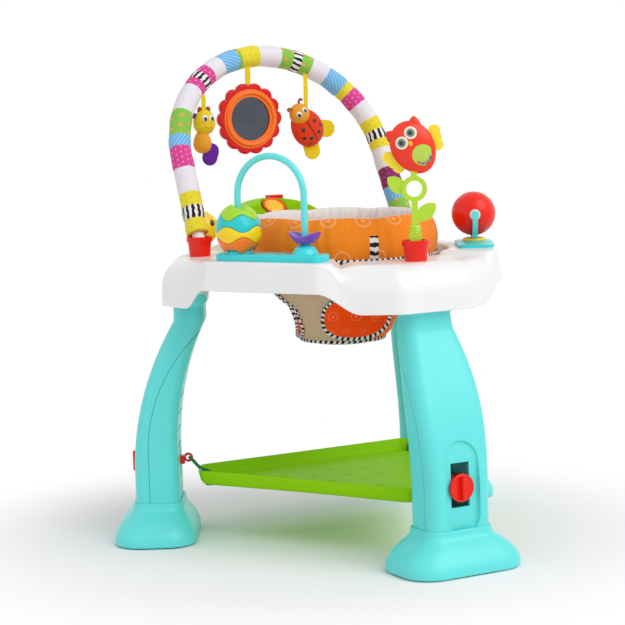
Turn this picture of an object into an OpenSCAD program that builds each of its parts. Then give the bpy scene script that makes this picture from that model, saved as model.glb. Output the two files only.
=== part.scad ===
// Baby activity jumper: a play tray on three bowed legs, with a turning seat, a bounce
// platform on elastic loops, a padded toy bar and four play toys.
// The seat axis is vertical. Legs stand at 180, -60 and 60 degrees round it, toys between them.

/* [Feet] */
// Distance from the seat axis to the middle of each foot
foot_r = 304; // [296:1:314]
// Size of a foot from the seat side to the outside
foot_depth = 128; // [120:1:136]
// Length of a foot across its leg
foot_width = 196; // [176:1:206]
// Corner radius of a foot
foot_corner = 45; // [34:1:50]
// Height of a foot's dome above its pads
foot_h = 46; // [40:1:54]
// Height of the straight edge under the dome
foot_edge_h = 10; // [6:1:14]
// Height of the collar that holds the leg
foot_collar_h = 16; // [12:1:20]
// Wall of that collar
foot_collar_wall = 4; // [3:0.5:6]
// Depth of the leg's socket below the top of the dome
foot_socket = 14; // [8:1:20]
// Thickness of a rubber pad
pad_t = 2; // [1.5:0.5:4]
// Width of the long rims under a foot
foot_rim = 25; // [22:1:28]
// Width of the end rims under a foot
foot_end_rim = 15; // [12:1:20]
// Length of a rubber pad
pad_l = 70; // [50:1:80]
// Width of a rubber pad
pad_w = 15; // [12:1:18]

/* [Legs] */
// Distance from the seat axis to the middle of a leg at its foot
leg_r = 300; // [296:1:304]
// Depth of a leg at its foot
leg_depth = 70; // [66:1:74]
// Depth of a leg under the tray
leg_top_depth = 49; // [46:1:54]
// Width of a leg
leg_width = 104; // [96:1:110]
// How far the leg swells on each side halfway up
leg_swell = 4; // [0:0.5:6]
// Corner radius of a leg
leg_corner = 18; // [14:1:22]
// Height where a leg starts to bow inwards
bow_z = 125; // [115:1:135]
// Radius of the bow
bow_r = 460; // [440:1:500]
// Height where the bow ends and the neck starts
neck_z = 350; // [335:1:360]
// How far the neck collar stands out
neck_step = 4.5; // [3:0.5:5]
// Height of the waist under that collar
waist_z = 372; // [366:1:376]
// Width of a leg at its waist
waist_w = 76; // [70:1:84]
// Height where a leg starts to narrow towards its waist
taper_z = 220; // [200:1:240]
// Wall of a leg
leg_wall = 3.5; // [3:0.25:4]
// Width of the seam between the leg shell and its cover
seam = 0.4; // [0.2:0.1:0.8]
// Radius of the curved seam on the side of a leg
seam_r = 258; // [245:1:270]
// Height where that curve starts
seam_z = 140; // [130:1:150]
// How far that curve starts outside the middle of the leg
seam_out = 11; // [6:1:14]
// Height of the lowest mark on the cover
tick_z = 208; // [200:1:212]
// Spacing of the marks
tick_pitch = 23; // [20:1:26]
// Length of a mark
tick_l = 16; // [10:1:24]
// Height of a mark
tick_h = 2.5; // [2:0.5:4]
// How far a mark stands out
tick_t = 1.2; // [0.8:0.1:2]

/* [Height setting] */
// Height of the knob
knob_z = 124; // [121:1:127]
// Width of the recess round the knob
recess_w = 58; // [52:1:64]
// Height of that recess
recess_h = 138; // [134:1:144]
// Depth of that recess
recess_depth = 7; // [5:0.5:9]
// Width of the slot that the knob slides in
slot_w = 32; // [28:1:34]
// Height of the slot
slot_h = 66; // [62:1:70]
// Wall round the slider's channel
channel_wall = 4; // [3:0.5:5]
// Width of the slider
slider_w = 36; // [32:1:40]
// Height of the slider
slider_h = 28; // [24:1:30]
// Width of the hook's stem
stem_w = 12; // [9:1:14]
// Height of the hook's stem
stem_h = 13; // [10:1:14]
// How far the stem reaches out of the leg
stem_out = 7; // [5:0.5:9]
// Radius of the eye ring's centre line
eye_r = 5.6; // [5:0.1:6.5]
// Thickness of the eye ring
eye_wire = 4; // [3:0.25:4.5]
// Diameter of the knob
knob_d = 42; // [38:1:46]
// Thickness of the knob's disc
knob_t = 5; // [4:0.5:6]
// Width of the knob's grip bar
grip_w = 7; // [5:0.5:9]
// How far the grip bar stands out
grip_t = 7; // [5:0.5:9]
// Diameter of the knob's shaft
knob_shaft_d = 12; // [10:0.5:14]

/* [Platform] */
// Gap between a platform tip and its leg
plat_gap = 28; // [27:1:35]
// Distance from the seat axis to its long sides
plat_side_r = 141; // [136:1:146]
// Corner radius of the platform
plat_corner = 16; // [10:1:20]
// Height of the platform's underside
plat_z = 87; // [82:1:90]
// Thickness of its floor
plat_floor_t = 5; // [4:0.5:6]
// Height of its rim above the underside
plat_rim_h = 23; // [21:1:26]
// Thickness of its rim
plat_rim_t = 6; // [4:0.5:8]
// How far the rim leans in on its way down
plat_draft = 5; // [2:0.5:8]
// Diameter of the elastic cord
cord_d = 3.6; // [3:0.2:4.4]
// Half the gap between the two strands
cord_spread = 5; // [4:0.5:6]
// Diameter of a cord stopper
stopper_d = 18; // [16:1:20]
// Thickness of a cord stopper
stopper_t = 5; // [4:0.5:7]

/* [Tray] */
// Height of the tray's inner ring
tray_z = 433; // [428:1:436]
// Height of the pads that carry the toys
pod_z = 454; // [450:1:456]
// Height of the hoods over the legs
hood_z = 449; // [446:1:452]
// Height of the top between pads and hoods
valley_z = 437; // [436:1:440]
// Height of the skirt's lower edge under the pads
pod_skirt_z = 410; // [406:1:411]
// Height of the skirt's lower edge under the hoods
hood_skirt_z = 378; // [374:1:382]
// Distance from the seat axis to the face of a pad
pod_r = 240; // [237:1:243]
// Half the length of a pad
pod_half = 95; // [90:1:100]
// Distance from the seat axis to the face of a hood
hood_r = 280; // [277:1:283]
// Half the width of a hood
hood_half = 60; // [58:1:66]
// Corner radius of the tray's outline
tray_corner = 30; // [20:1:36]
// Edge rounding on a pad
pod_edge = 5; // [3:0.5:8]
// Depth of a hood's dome
dome_depth = 38; // [32:1:42]
// Height of a hood's dome
dome_h = 44; // [38:1:48]
// How far the skirt flares out under the pads
skirt_flare = 8; // [2:0.5:9]
// Wall of the tray
tray_wall = 3; // [2.5:0.25:4]
// Radius of the seat hole
hole_r = 136; // [134:1:138]
// Radius where the top steps up to the pads
step_r = 163; // [160:1:166]
// Run of that step
step_run = 8; // [5:1:10]
// Depth of the lip round the seat hole
lip_h = 20; // [14:1:24]
// Height of the underside plate
under_z = 411; // [410.5:0.5:413]
// Height of the leg sockets under the plate
socket_h = 18; // [12:1:20]

/* [Seat] */
// Radius of the seat ring's lip
seat_lip_r = 134; // [132:0.5:135]
// Wall of the seat ring
seat_ring_t = 4; // [3:0.5:5]
// Radius of the seat ring's flange
seat_flange_r = 149; // [146:1:152]
// Depth of the seat ring's lip
seat_lip_h = 22; // [16:1:26]
// Widest radius of the padded collar
collar_r = 156; // [152:1:158]
// Inside radius of the collar
collar_in_r = 119; // [116:1:121]
// Height of the collar
collar_h = 75; // [66:1:80]
// How far the collar is drawn in at its seams
collar_pinch = 3; // [1:0.5:5]
// Thickness of the sling
sling_t = 3; // [2.5:0.5:4]
// Height of the sling's lowest point
sling_z = 306; // [300:1:312]
// Width of a leg hole
leg_hole_w = 62; // [54:1:66]
// Height of a leg hole
leg_hole_h = 84; // [76:1:88]
// Height of the middle of a leg hole
leg_hole_z = 372; // [368:1:376]

/* [Flower pots] */
// Distance from the seat axis to each pot
pot_r = 222; // [219:1:225]
// Diameter of a pot's rim
pot_rim_d = 41; // [39:0.5:43]
// Diameter of a pot at its foot
pot_foot_d = 33; // [31:0.5:35]
// Height of a pot
pot_h = 31; // [29:1:33]
// Height of a pot's rim
pot_rim_h = 8; // [6:0.5:9]
// Depth of the well in a pot
well_depth = 4.5; // [4:0.5:6]
// Wall round that well
well_wall = 3.5; // [3:0.5:4.5]

/* [Toy bar] */
// Radius of the bar's round top
bar_r = 187; // [183:1:191]
// Height of that curve's centre above the pots
bar_mid_h = 138; // [125:1:150]
// Lean of the bar away from the seat
bar_lean = 26; // [20:1:28]
// Splay of each bar leg
bar_splay = 2; // [1:0.5:3]
// Diameter of the bar's tube
tube_d = 20; // [18:0.5:21]
// Diameter of the padded sleeve
sleeve_d = 37; // [34:1:40]
// Length of the tube's end collar
bar_collar_l = 7; // [5:0.5:9]
// Diameter of that collar
bar_collar_d = 27; // [24:1:29]
// Thickness of a strap
strap_t = 2; // [1.5:0.25:3]
// Width of the mirror's strap
strap_w = 10; // [8:0.5:12]
// Width of the loops that hold the other toys
loop_w = 5; // [4:0.5:6]

/* [Hanging toys] */
// Place of the mirror along the bar
mirror_at = 27; // [22:1:34]
// Height of the mirror's centre
mirror_z = 659; // [656:1:662]
// Diameter over the mirror's petals
mirror_d = 119; // [112:1:122]
// Diameter of the mirror's orange ring
mirror_ring_d = 98; // [94:1:100]
// Diameter of the mirror glass
mirror_glass_d = 78; // [74:1:84]
// Thickness of the mirror
mirror_t = 12; // [10:0.5:14]
// Place of the ladybird along the bar
ladybird_at = -78; // [-84:1:-72]
// Height of the ladybird's middle
ladybird_z = 641; // [637:1:645]
// Width of the ladybird
ladybird_w = 58; // [52:1:62]
// Length of the ladybird's body
ladybird_l = 68; // [62:1:72]
// Thickness of the ladybird
ladybird_t = 28; // [24:1:32]
// Place of the giraffe along the bar
giraffe_at = 122; // [118:1:124]
// Height of the giraffe's head
giraffe_z = 657; // [653:1:660]
// Width of the giraffe's head
giraffe_w = 38; // [34:1:40]
// Height of the giraffe's head
giraffe_h = 42; // [38:1:44]
// Length of the giraffe's body
giraffe_body_l = 40; // [36:1:44]
// Width of the giraffe's teether
teether_w = 26; // [24:1:30]
// Length of the giraffe's teether
teether_l = 37; // [34:1:40]
// Thickness of the teether
teether_t = 9; // [7:0.5:11]

/* [Bead toy] */
// Distance from the seat axis to the middle of the bead toy
bead_r = 205; // [202:1:208]
// Length of a toy's base plate on the bead pad
bead_plate_l = 184; // [176:1:188]
// Width of that plate
bead_plate_w = 42; // [41:0.5:46]
// Width of the other toys' base plates
plate_w = 56; // [52:1:60]
// Thickness of the base plates
plate_t = 11; // [9:0.5:12]
// Thickness of the ball toy's base plate
ball_plate_t = 5; // [4:0.5:6]
// Half the spacing of the wire's legs
wire_half = 58; // [54:1:62]
// Diameter of the wire
wire_d = 10; // [9:0.5:11]
// Height of the wire's curve above the plate
wire_h = 87; // [84:1:92]
// Diameter of a dome under a bead
dome_d = 40; // [36:1:42]
// Height of a dome
bead_dome_h = 15.5; // [14:0.5:17]
// Widest diameter of the egg
egg_d = 70; // [66:1:72]
// Height of the egg
egg_h = 72; // [70:1:74]
// Height of the waves between the egg's layers
egg_wave = 4.5; // [3:0.25:5.5]
// Gap between the egg's layers
egg_gap = 0.6; // [0.4:0.05:0.8]
// Diameter of the petal cup bead
cup_d = 52; // [48:1:54]
// Height of the petal cup bead
cup_h = 18; // [16:0.5:19]
// Wall of the petal cup bead
cup_wall = 4; // [3:0.5:5]

/* [Owl toy] */
// Width of the owl's body
owl_w = 64; // [60:1:68]
// Height of the owl's body
owl_h = 82; // [78:1:84]
// Thickness of the owl's body
owl_t = 28; // [24:1:30]
// Height of the owl's middle above its pot
owl_mid_h = 137; // [134:1:140]
// Tilt of the owl's body
owl_tilt = 29; // [20:1:34]
// Diameter of the barrel that the stem rocks on
owl_ball_d = 20; // [18:0.5:22]
// Width of the stem
owl_stem_w = 9; // [8:0.5:11]
// Thickness of the stem
owl_stem_t = 9; // [8:0.5:10]
// Outer radius of the loop in the stem
owl_loop_r = 19; // [17:0.5:20]
// Radius of the hole in that loop
owl_loop_hole_r = 12; // [10:0.5:13]
// Height of the loop above the pot
owl_loop_h = 76; // [73:1:78]
// Diameter of the belly window
owl_window_d = 32; // [28:1:34]

/* [Ball toy] */
// Distance from the seat axis to the ball
ball_at_r = 211; // [209:1:213]
// Diameter of the ball
ball_d = 69; // [66:1:71]
// Height of the ball's middle
ball_z = 504; // [503:0.5:506]
// Length of the ball toy's base plate
ball_plate_l = 118; // [108:1:126]
// Diameter of the yellow ring
ring_d = 37; // [35:0.5:40]
// Thickness of the fork
fork_t = 4; // [3.5:0.25:4.5]
// Width of the fork
fork_w = 8; // [7:0.5:10]
// Diameter of the axle pins
axle_d = 5; // [4:0.5:6]
// Diameter of the white hubs on the ball
hub_d = 17; // [15:0.5:19]

/* [Music toy] */
// Distance from the seat axis to the middle of the music toy
music_r = 212; // [208:1:214]
// Length of the music toy
music_l = 176; // [168:1:180]
// Depth of the music toy
music_w = 50; // [46:1:54]
// Height of its crest above the pad
crest_h = 73; // [70:1:76]
// Diameter of the drum button
drum_d = 39; // [36:1:41]
// Thickness of the drum button
drum_t = 8; // [7:0.5:9]
// Travel of the drum button
drum_travel = 3; // [2:0.5:4]
// Length of the key on the crest
key_l = 26; // [22:1:30]
// Width of that key
key_w = 14; // [12:1:16]
// How far the key stands out
key_out = 4; // [3.5:0.25:5]
// Travel of that key
key_travel = 2.5; // [2:0.25:3]
// Size of the music toy's head
head_d = 56; // [50:1:58]

/* [Hidden] */
$fn = 48;

// Angles round the seat axis
leg_turns = [180, -60, 60];
bead_turn = 240;
ball_turn = 0;
music_turn = 120;
seat_turn = 180;
leg_hole_turn = 47;

// Clearances and the overrun of cuts
clear = 0.3;
slide_clear = 1;
shaft_clear = 0.05;
over = 1;

// The seat axis stands off the middle of the whole, which the feet set
foot_in = foot_depth / 2 - foot_corner;
foot_side = foot_width / 2 - foot_corner;
foot_reach = foot_r * cos(60) + foot_in * cos(60) + foot_side * sin(60) + foot_corner;
axis_x = (foot_r + foot_depth / 2 - foot_reach) / 2;

// Legs
foot_floor = 5;
foot_hollow_r = 18;
foot_top_z = pad_t + foot_h;
leg_base_z = foot_top_z - foot_socket;
leg_top_z = under_z;
leg_rings = 7;
hollow_rings = 5;
neck_ramp = 2 * neck_step;
corner_steps = 3;
outline_steps = 4;
leg_face_r = leg_r + leg_depth / 2;
recess_floor_r = leg_face_r - recess_depth;
channel_out_r = recess_floor_r - channel_wall;
channel_in_r = leg_r - leg_depth / 2 + channel_wall;
channel_w = slider_w + 2 * slide_clear;
slot_over = 9;
channel_h = slot_h + 2 * slot_over;
slot_rise = 4;
slot_z = knob_z + slot_rise;
stem_slot_w = stem_w + 2 * slide_clear;
stem_slot_h = slot_h - slot_over;
ticks = 4;

// Height setting
slider_in_r = channel_in_r + slide_clear;
slider_out_r = channel_out_r - slide_clear;
stem_in_r = leg_r - leg_depth / 2 - stem_out;
eye_at_r = stem_in_r - eye_r;
eye_z = knob_z + stem_h / 4;
knob_back_r = recess_floor_r + slide_clear;
knob_shaft_l = 30;

// Platform
plat_tip_r = leg_r - leg_depth / 2 - plat_gap;
rim_shares = [0.25, 0.75];
draft_shares = [0.25, 1];
notch_w = 2 * cord_spread + 2 * cord_d;
notch_z = plat_z + plat_rim_h / 2;
cord_hole_r = plat_tip_r - plat_rim_t - plat_draft - notch_w / 2;
cord_sides = 8;
// Way of one strand from the stopper to the eye, as steps of the way in, up and across
cord_in_shares = [0, 0, 0.16, 0.5, 0.86, 1, 1];
cord_up_shares = [0, 0.3, 0.44, 0.56, 0.9, 0.99, 1];
cord_side_shares = [1, 1, 1, 1, 1, 0.62, 0];

// Tray
hood_blend = 24;
hood_fade = 14;
pod_blend = 26.5;
pod_fade = 4;
dome_steps = 4;
edge_parts = 5;
socket_wall = 3;
socket_clear = 0.4;
skirt_clear = 1.5;

// Seat
seat_z = tray_z + clear;
seat_flange_t = seat_ring_t;
collar_z = seat_z + seat_flange_t + clear;
collar_steps = 48;
collar_lobes = 8;
collar_sides = 12;
sling_steps = 32;
sling_top_z = collar_z + collar_h / 2;
// Radius and height of the sling's outline, from its lowest point to its top
sling_r_shares = [0.3, 0.5, 0.64, 0.745, 0.82, 0.945, 0.98, 1];
sling_up_shares = [0, 0.03, 0.1, 0.22, 0.36, 0.5, 0.78, 1];
sling_r = collar_in_r - clear;

// Toy bar
bar_foot_share = 0.68;
bar_foot_z = hood_z + pot_h * bar_foot_share;
pot_line_r = pot_r * cos(60);
bar_leg_l = (bar_mid_h + bar_r * sin(bar_splay)) / cos(bar_splay);
tube_plug = 10;
// The straight legs plug into the round top, one small step smaller
bar_lap = 5;
bar_step = 0.1;
sleeve_lift = 26;
// Where a strap of a given width hangs, just clear of the sleeve
function bar_under(at, w) =
    bar_mid_h + sqrt(pow(bar_r - sleeve_d / 2 - clear - strap_t / 2, 2) - pow(abs(at) + w / 2, 2));
function under_r(at, w) = pot_line_r + bar_under(at, w) * sin(bar_lean);
function under_z_at(at, w) = bar_foot_z + bar_under(at, w) * cos(bar_lean);

// Hanging toys
body_taper_share = 0.08;
head_taper_share = 0.02;
neck_taper_share = 0.25;
ladybird_tilt = -35;
ladybird_head_d = 36;
felt_t = 4;
felt_l = 42;
giraffe_t = 30;
giraffe_body_t = 25;
horn_d = 8;
teether_at_share = 0.8;
teether_turn = 18;
petals = 14;
petal_d = 27;
petal_steps = 8;
pocket_depth = 3;
toy_sides = 16;
end_angle = 84;
toy_rings = 7;

// Bead toy
wire_z = pod_z + plate_t + wire_h;
plate_corner = 12;
bead_seat_z = pod_z + plate_t + bead_dome_h;
egg_lift = 1;
egg_z = pod_z + plate_t + egg_lift;
egg_steps = 32;
egg_lobes = 4;
bead_clear = 0.6;
bead_bore_r = wire_d / 2 + bead_clear;
egg_dome_r = dome_d / 2 + bead_clear;
egg_dome_top = bead_seat_z + clear;
// Heights of the egg's layers and the swell of its outline
egg_cut_shares = [0, 0.27, 0.5, 0.74, 1];
egg_foot_share = 0.64;
egg_wide_share = 0.42;
egg_tip_share = 0.62;
cup_steps = 24;
cup_petals = 2;
cup_wave = 4;

// Owl toy
owl_pivot_z = hood_z + pot_h - well_depth + clear + owl_ball_d / 2;
owl_leaf_r = 22;
owl_ribs = 3;
owl_rib_t = 3;
owl_ear_r = 8;
owl_wing_t = 4;
owl_wing_lobe = 9;
owl_window_t = 6;
owl_taper_share = -0.06;
owl_rib_share = 0.9;
owl_barrel_share = 0.8;
owl_rib_step_shares = [1.2, 1.3];
owl_leaf_share = 0.75;
owl_leaf_turn = 50;
owl_ear_share = 0.3;
// Places of a wing's lobes, across and up, as shares of a lobe
wing_out_shares = [0.1, 0.45, 0.8];
wing_up_shares = [-1.6, -0.5, 0.6];

// Ball toy
fork_gap = 2.5;
fork_r = ball_d / 2 + fork_gap;
neck_z0 = pod_z + ball_plate_t;
ring_h = 6;
neck_d = 62;
neck_top_d = 26;
fork_foot_z = ball_z - fork_r - fork_t;

// Music toy
drum_lean = 39;
drum_at = 11;
drum_drop = 18;
drum_z = pod_z + crest_h - drum_drop;
drum_face_in = 12;
drum_stem_d = 16;
boss_d = 34;
boss_l = 22;
key_at = -5;
key_back = 12;
music_off = 8;
arch_share = 0.42;
arch_at_share = -0.22;
head_deep_share = 0.8;
head_rise = 31;
head_neck_d = 20;
crest_r = 150;
head_at = 138;
nub_d = 16;

function clamp01(x) = min(1, max(0, x));
function smooth(x) = let(c = clamp01(x)) c * c * (3 - 2 * c);
function unit(v) = v / norm(v);

// Points of a rectangle with round corners, as a closed ring
function round_rect(hx, hy, r) = [
    for (q = [0:3]) for (k = [0:corner_steps])
        let(sx = [1, -1, -1, 1][q], sy = [1, 1, -1, -1][q], a = 90 * q + 90 * k / corner_steps)
            [sx * (hx - r) + r * cos(a), sy * (hy - r) + r * sin(a)]
];

// Points of any convex outline with its corners rounded; each edge is cut into parts
function round_outline(c, r, parts) = [
    for (i = [0:len(c) - 1])
        let(
            p = c[i],
            u = unit(c[(i + len(c) - 1) % len(c)] - p),
            v = unit(c[(i + 1) % len(c)] - p),
            half = acos(u * v) / 2,
            m = p + unit(u + v) * r / sin(half),
            a0 = atan2((p + u * r / tan(half) - m)[1], (p + u * r / tan(half) - m)[0]),
            sweep = 180 - 2 * half,
            end = p + v * r / tan(half),
            q = c[(i + 1) % len(c)],
            half_q = acos(unit(p - q) * unit(c[(i + 2) % len(c)] - q)) / 2,
            next = q + unit(p - q) * r / tan(half_q)
        )
        each concat(
            [for (k = [0:outline_steps]) let(b = a0 + sweep * k / outline_steps) m + r * [cos(b), sin(b)]],
            [for (k = [1:1:parts - 1]) end + (next - end) * k / parts]
        )
];

function at_height(ring, z) = [for (p = ring) [p[0], p[1], z]];
function moved(ring, d) = [for (p = ring) p + d];

// A skin through rings of points, closed at both ends
module loft(rings) {
    n = len(rings[0]);
    m = len(rings);
    polyhedron(
        points = [for (r = rings) each r],
        faces = concat(
            [for (k = [1:n - 2]) [0, k, k + 1]],
            [for (i = [0:m - 2]) for (k = [0:n - 1]) let(j = (k + 1) % n)
                each [[i * n + k, i * n + n + k, i * n + n + j], [i * n + k, i * n + n + j, i * n + j]]],
            [for (k = [1:n - 2]) [m * n - n, m * n - n + k + 1, m * n - n + k]]
        )
    );
}

// A skin through closed sections that go all the way round
module ring_loft(sections) {
    n = len(sections[0]);
    m = len(sections);
    polyhedron(
        points = [for (s = sections) each s],
        faces = [for (i = [0:m - 1]) for (k = [0:n - 1]) let(a = i * n, b = ((i + 1) % m) * n, j = (k + 1) % n)
            each [[a + k, b + k, b + j], [a + k, b + j, a + j]]]
    );
}

// A stuffed form: rounded rings that swell in the middle, taper by share towards the top
module stuffed(w, t, h, taper_share) {
    loft([
        for (i = [0:toy_rings])
            let(a = end_angle * (2 * i / toy_rings - 1), s = cos(a) * (1 - taper_share * sin(a)))
                [for (k = [0:toy_sides - 1]) let(b = 360 * k / toy_sides)
                    [t / 2 * s * cos(b), w / 2 * s * sin(b), h / 2 * sin(a)]]
    ]);
}

// A tube along points
module tube(path, d, sides, across) {
    n = len(path);
    loft([
        for (i = [0:n - 1])
            let(
                along = unit(path[min(i + 1, n - 1)] - path[max(i - 1, 0)]),
                u = unit(cross(across, along)),
                v = cross(along, u)
            )
            [for (k = [0:sides - 1]) let(a = 360 * k / sides) path[i] + d / 2 * (cos(a) * u + sin(a) * v)]
    ]);
}

module at_axis() { translate([axis_x, 0, 0]) children(); }
module at_turn(turn) { at_axis() rotate([0, 0, turn]) children(); }
module at_bar() {
    at_turn(music_turn) translate([pot_line_r, 0, bar_foot_z]) rotate([0, bar_lean, 0]) children();
}
// Radial cylinder, from one radius to another
module spoke(d, r0, r1) { translate([r0, 0, 0]) rotate([0, 90, 0]) cylinder(d = d, h = r1 - r0); }

// Leg form

function bow_at(z) = clamp01((z - bow_z) / (neck_z - bow_z));
function leg_mid(z) =
    let(rise = max(0, min(z, neck_z) - bow_z)) leg_r - (bow_r - sqrt(bow_r * bow_r - rise * rise));
function leg_hx(z) = leg_depth / 2 + (leg_top_depth - leg_depth) / 2 * bow_at(z);
function leg_hy(z) = leg_width / 2 + leg_swell * sin(180 * bow_at(z))
    - (leg_width - waist_w) / 2 * pow(clamp01((z - taper_z) / (waist_z - taper_z)), 2);
function leg_ring(z, grow) =
    moved(at_height(round_rect(leg_hx(z) + grow, leg_hy(z) + grow, leg_corner), z), [leg_mid(z), 0, 0]);

module leg_form() {
    loft(concat(
        [leg_ring(leg_base_z, 0)],
        [for (k = [0:leg_rings]) leg_ring(bow_z + (neck_z - bow_z) * k / leg_rings, 0)],
        [leg_ring(waist_z, 0), leg_ring(waist_z + neck_ramp, neck_step), leg_ring(leg_top_z, neck_step)]
    ));
}

// The hollow in a leg, with a thicker outer wall for the knob's recess
function hollow_ring(z) =
    let(
        outer = recess_depth + channel_wall,
        hx = leg_hx(z) - (leg_wall + outer) / 2,
        hy = leg_hy(z) - leg_wall
    )
    moved(at_height(round_rect(hx, hy, leg_corner - leg_wall), z), [leg_mid(z) - (outer - leg_wall) / 2, 0, 0]);

module leg_solid() {
    wall = channel_w / 2 + channel_wall;
    tall = channel_h + 2 * channel_wall;
    difference() {
        leg_form();
        loft(concat(
            [hollow_ring(leg_base_z + leg_wall)],
            [for (k = [0:hollow_rings]) hollow_ring(bow_z + (neck_z - bow_z) * k / hollow_rings)],
            [hollow_ring(waist_z), hollow_ring(leg_top_z - leg_wall)]
        ));
    }
    translate([channel_in_r - channel_wall / 2, -wall, slot_z - tall / 2])
        cube([channel_out_r - channel_in_r + channel_wall, 2 * wall, tall]);
}

// The inner lower part of the leg that the cover takes
module cover_zone(grow) {
    depth = leg_width + 2 * leg_swell + 2 * over;
    translate([leg_r + seam_out - seam_r, 0, seam_z])
        rotate([90, 0, 0]) cylinder(r = seam_r + grow, h = depth, center = true, $fn = 160);
    translate([0, -depth / 2, leg_base_z - over])
        cube([leg_r + seam_out + grow, depth, seam_z - leg_base_z + over]);
}

// Recess, slot and channel through the leg
module leg_cuts() {
    half = (recess_h - recess_w) / 2;
    for (s = [-1, 1])
        translate([0, 0, knob_z + s * half]) spoke(recess_w, recess_floor_r, leg_face_r + over);
    translate([recess_floor_r, -recess_w / 2, knob_z - half]) cube([recess_depth + over, recess_w, 2 * half]);
    translate([channel_out_r - over, -slot_w / 2, slot_z - slot_h / 2])
        cube([channel_wall + 2 * over, slot_w, slot_h]);
    translate([channel_in_r, -channel_w / 2, slot_z - channel_h / 2])
        cube([channel_out_r - channel_in_r, channel_w, channel_h]);
    translate([stem_in_r, -stem_slot_w / 2, slot_z - stem_slot_h / 2])
        cube([channel_in_r - stem_in_r + over, stem_slot_w, stem_slot_h]);
}

module leg_shell(i) {
    color("turquoise") at_turn(leg_turns[i])
        difference() {
            leg_solid();
            cover_zone(seam);
            leg_cuts();
        }
}

module leg_cover(i) {
    color("mediumturquoise") at_turn(leg_turns[i])
        difference() {
            union() {
                intersection() {
                    leg_solid();
                    cover_zone(0);
                }
                for (k = [0:ticks - 1])
                    let(z = tick_z + k * tick_pitch, face = leg_mid(z) - leg_hx(z))
                        translate([face - tick_t, -tick_l / 2, z])
                            cube([2 * tick_t + tick_h, tick_l, tick_h]);
            }
            leg_cuts();
        }
}

// Feet

function foot_ring(z, share) =
    let(
        hx = leg_depth / 2 + foot_collar_wall,
        hy = leg_width / 2 + foot_collar_wall,
        cr = leg_corner + foot_collar_wall,
        off = (leg_r - foot_r) * (1 - share)
    )
    moved(
        at_height(
            round_rect(
                hx + (foot_depth / 2 - hx) * share,
                hy + (foot_width / 2 - hy) * share,
                cr + (foot_corner - cr) * share
            ), z),
        [foot_r + off, 0, 0]
    );

module foot(i) {
    dome_steps_n = 6;
    tuck_share = 0.97;
    color("turquoise") at_turn(leg_turns[i])
        difference() {
            loft(concat(
                [foot_ring(pad_t, tuck_share), foot_ring(pad_t + foot_edge_h / 3, 1)],
                [for (k = [0:dome_steps_n]) let(a = 90 * k / dome_steps_n)
                    foot_ring(pad_t + foot_edge_h + (foot_h - foot_edge_h) * sin(a), cos(a))],
                [foot_ring(foot_top_z + foot_collar_h, 0)]
            ));
            loft([leg_ring(leg_base_z, clear), leg_ring(foot_top_z + foot_collar_h + over, clear)]);
            translate([foot_r, 0, pad_t - over]) foot_hollow(leg_base_z - foot_floor - pad_t + over);
        }
}

// The open underside of a foot, between the rims that carry the pads
module foot_hollow(h) {
    hx = foot_depth / 2 - foot_rim;
    hy = foot_width / 2 - foot_end_rim;
    for (x = [-1, 1]) for (y = [-1, 1])
        translate([x * (hx - foot_hollow_r), y * (hy - foot_hollow_r), 0]) cylinder(r = foot_hollow_r, h = h);
    translate([-hx, -hy + foot_hollow_r, 0]) cube([2 * hx, 2 * (hy - foot_hollow_r), h]);
    translate([-hx + foot_hollow_r, -hy, 0]) cube([2 * (hx - foot_hollow_r), 2 * hy, h]);
}

module foot_pads() {
    color("dimgray")
        for (t = leg_turns) at_turn(t)
            for (s = [-1, 1])
                translate([foot_r + s * (foot_depth - foot_rim) / 2, 0, 0]) {
                    translate([-pad_w / 2, -pad_l / 2, 0]) cube([pad_w, pad_l, pad_t]);
                    for (e = [-1, 1]) translate([0, e * pad_l / 2, 0]) cylinder(d = pad_w, h = pad_t);
                }
}

// Height setting

module slider(i) {
    color("red") at_turn(leg_turns[i])
        difference() {
            union() {
                translate([slider_in_r, -slider_w / 2, knob_z - slider_h / 2])
                    cube([slider_out_r - slider_in_r, slider_w, slider_h]);
                translate([stem_in_r, -stem_w / 2, knob_z - stem_h / 2])
                    cube([slider_in_r - stem_in_r, stem_w, stem_h]);
                translate([eye_at_r, 0, eye_z]) rotate([90, 0, 0])
                    rotate_extrude() translate([eye_r, 0]) circle(d = eye_wire, $fn = 24);
            }
            translate([0, 0, knob_z])
                spoke(knob_shaft_d + 2 * shaft_clear, slider_out_r - knob_shaft_l, slider_out_r + over);
        }
}

module knob(i) {
    color("red") at_turn(leg_turns[i]) translate([0, 0, knob_z]) {
        spoke(knob_shaft_d, slider_out_r - knob_shaft_l + slide_clear, knob_back_r);
        spoke(knob_d, knob_back_r, knob_back_r + knob_t);
        intersection() {
            spoke(knob_d - grip_w, knob_back_r, knob_back_r + knob_t + grip_t);
            translate([knob_back_r, -grip_w / 2, -knob_d / 2]) cube([knob_t + grip_t, grip_w, knob_d]);
        }
    }
}

function cord_half() =
    let(
        r0 = cord_hole_r,
        r1 = eye_at_r - eye_r + eye_wire / 2 + cord_d / 2 + clear,
        z0 = plat_z,
        z1 = eye_z
    )
    [for (k = [0:len(cord_in_shares) - 1])
        [r0 + (r1 - r0) * cord_in_shares[k], cord_spread * cord_side_shares[k], z0 + (z1 - z0) * cord_up_shares[k]]];

module cord(i) {
    h = cord_half();
    n = len(h);
    path = concat(h, [for (k = [n - 2:-1:0]) [h[k][0], -h[k][1], h[k][2]]]);
    color("darkgreen") at_turn(leg_turns[i]) tube(path, cord_d, cord_sides, unit([1, 0, -1]));
}

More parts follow.
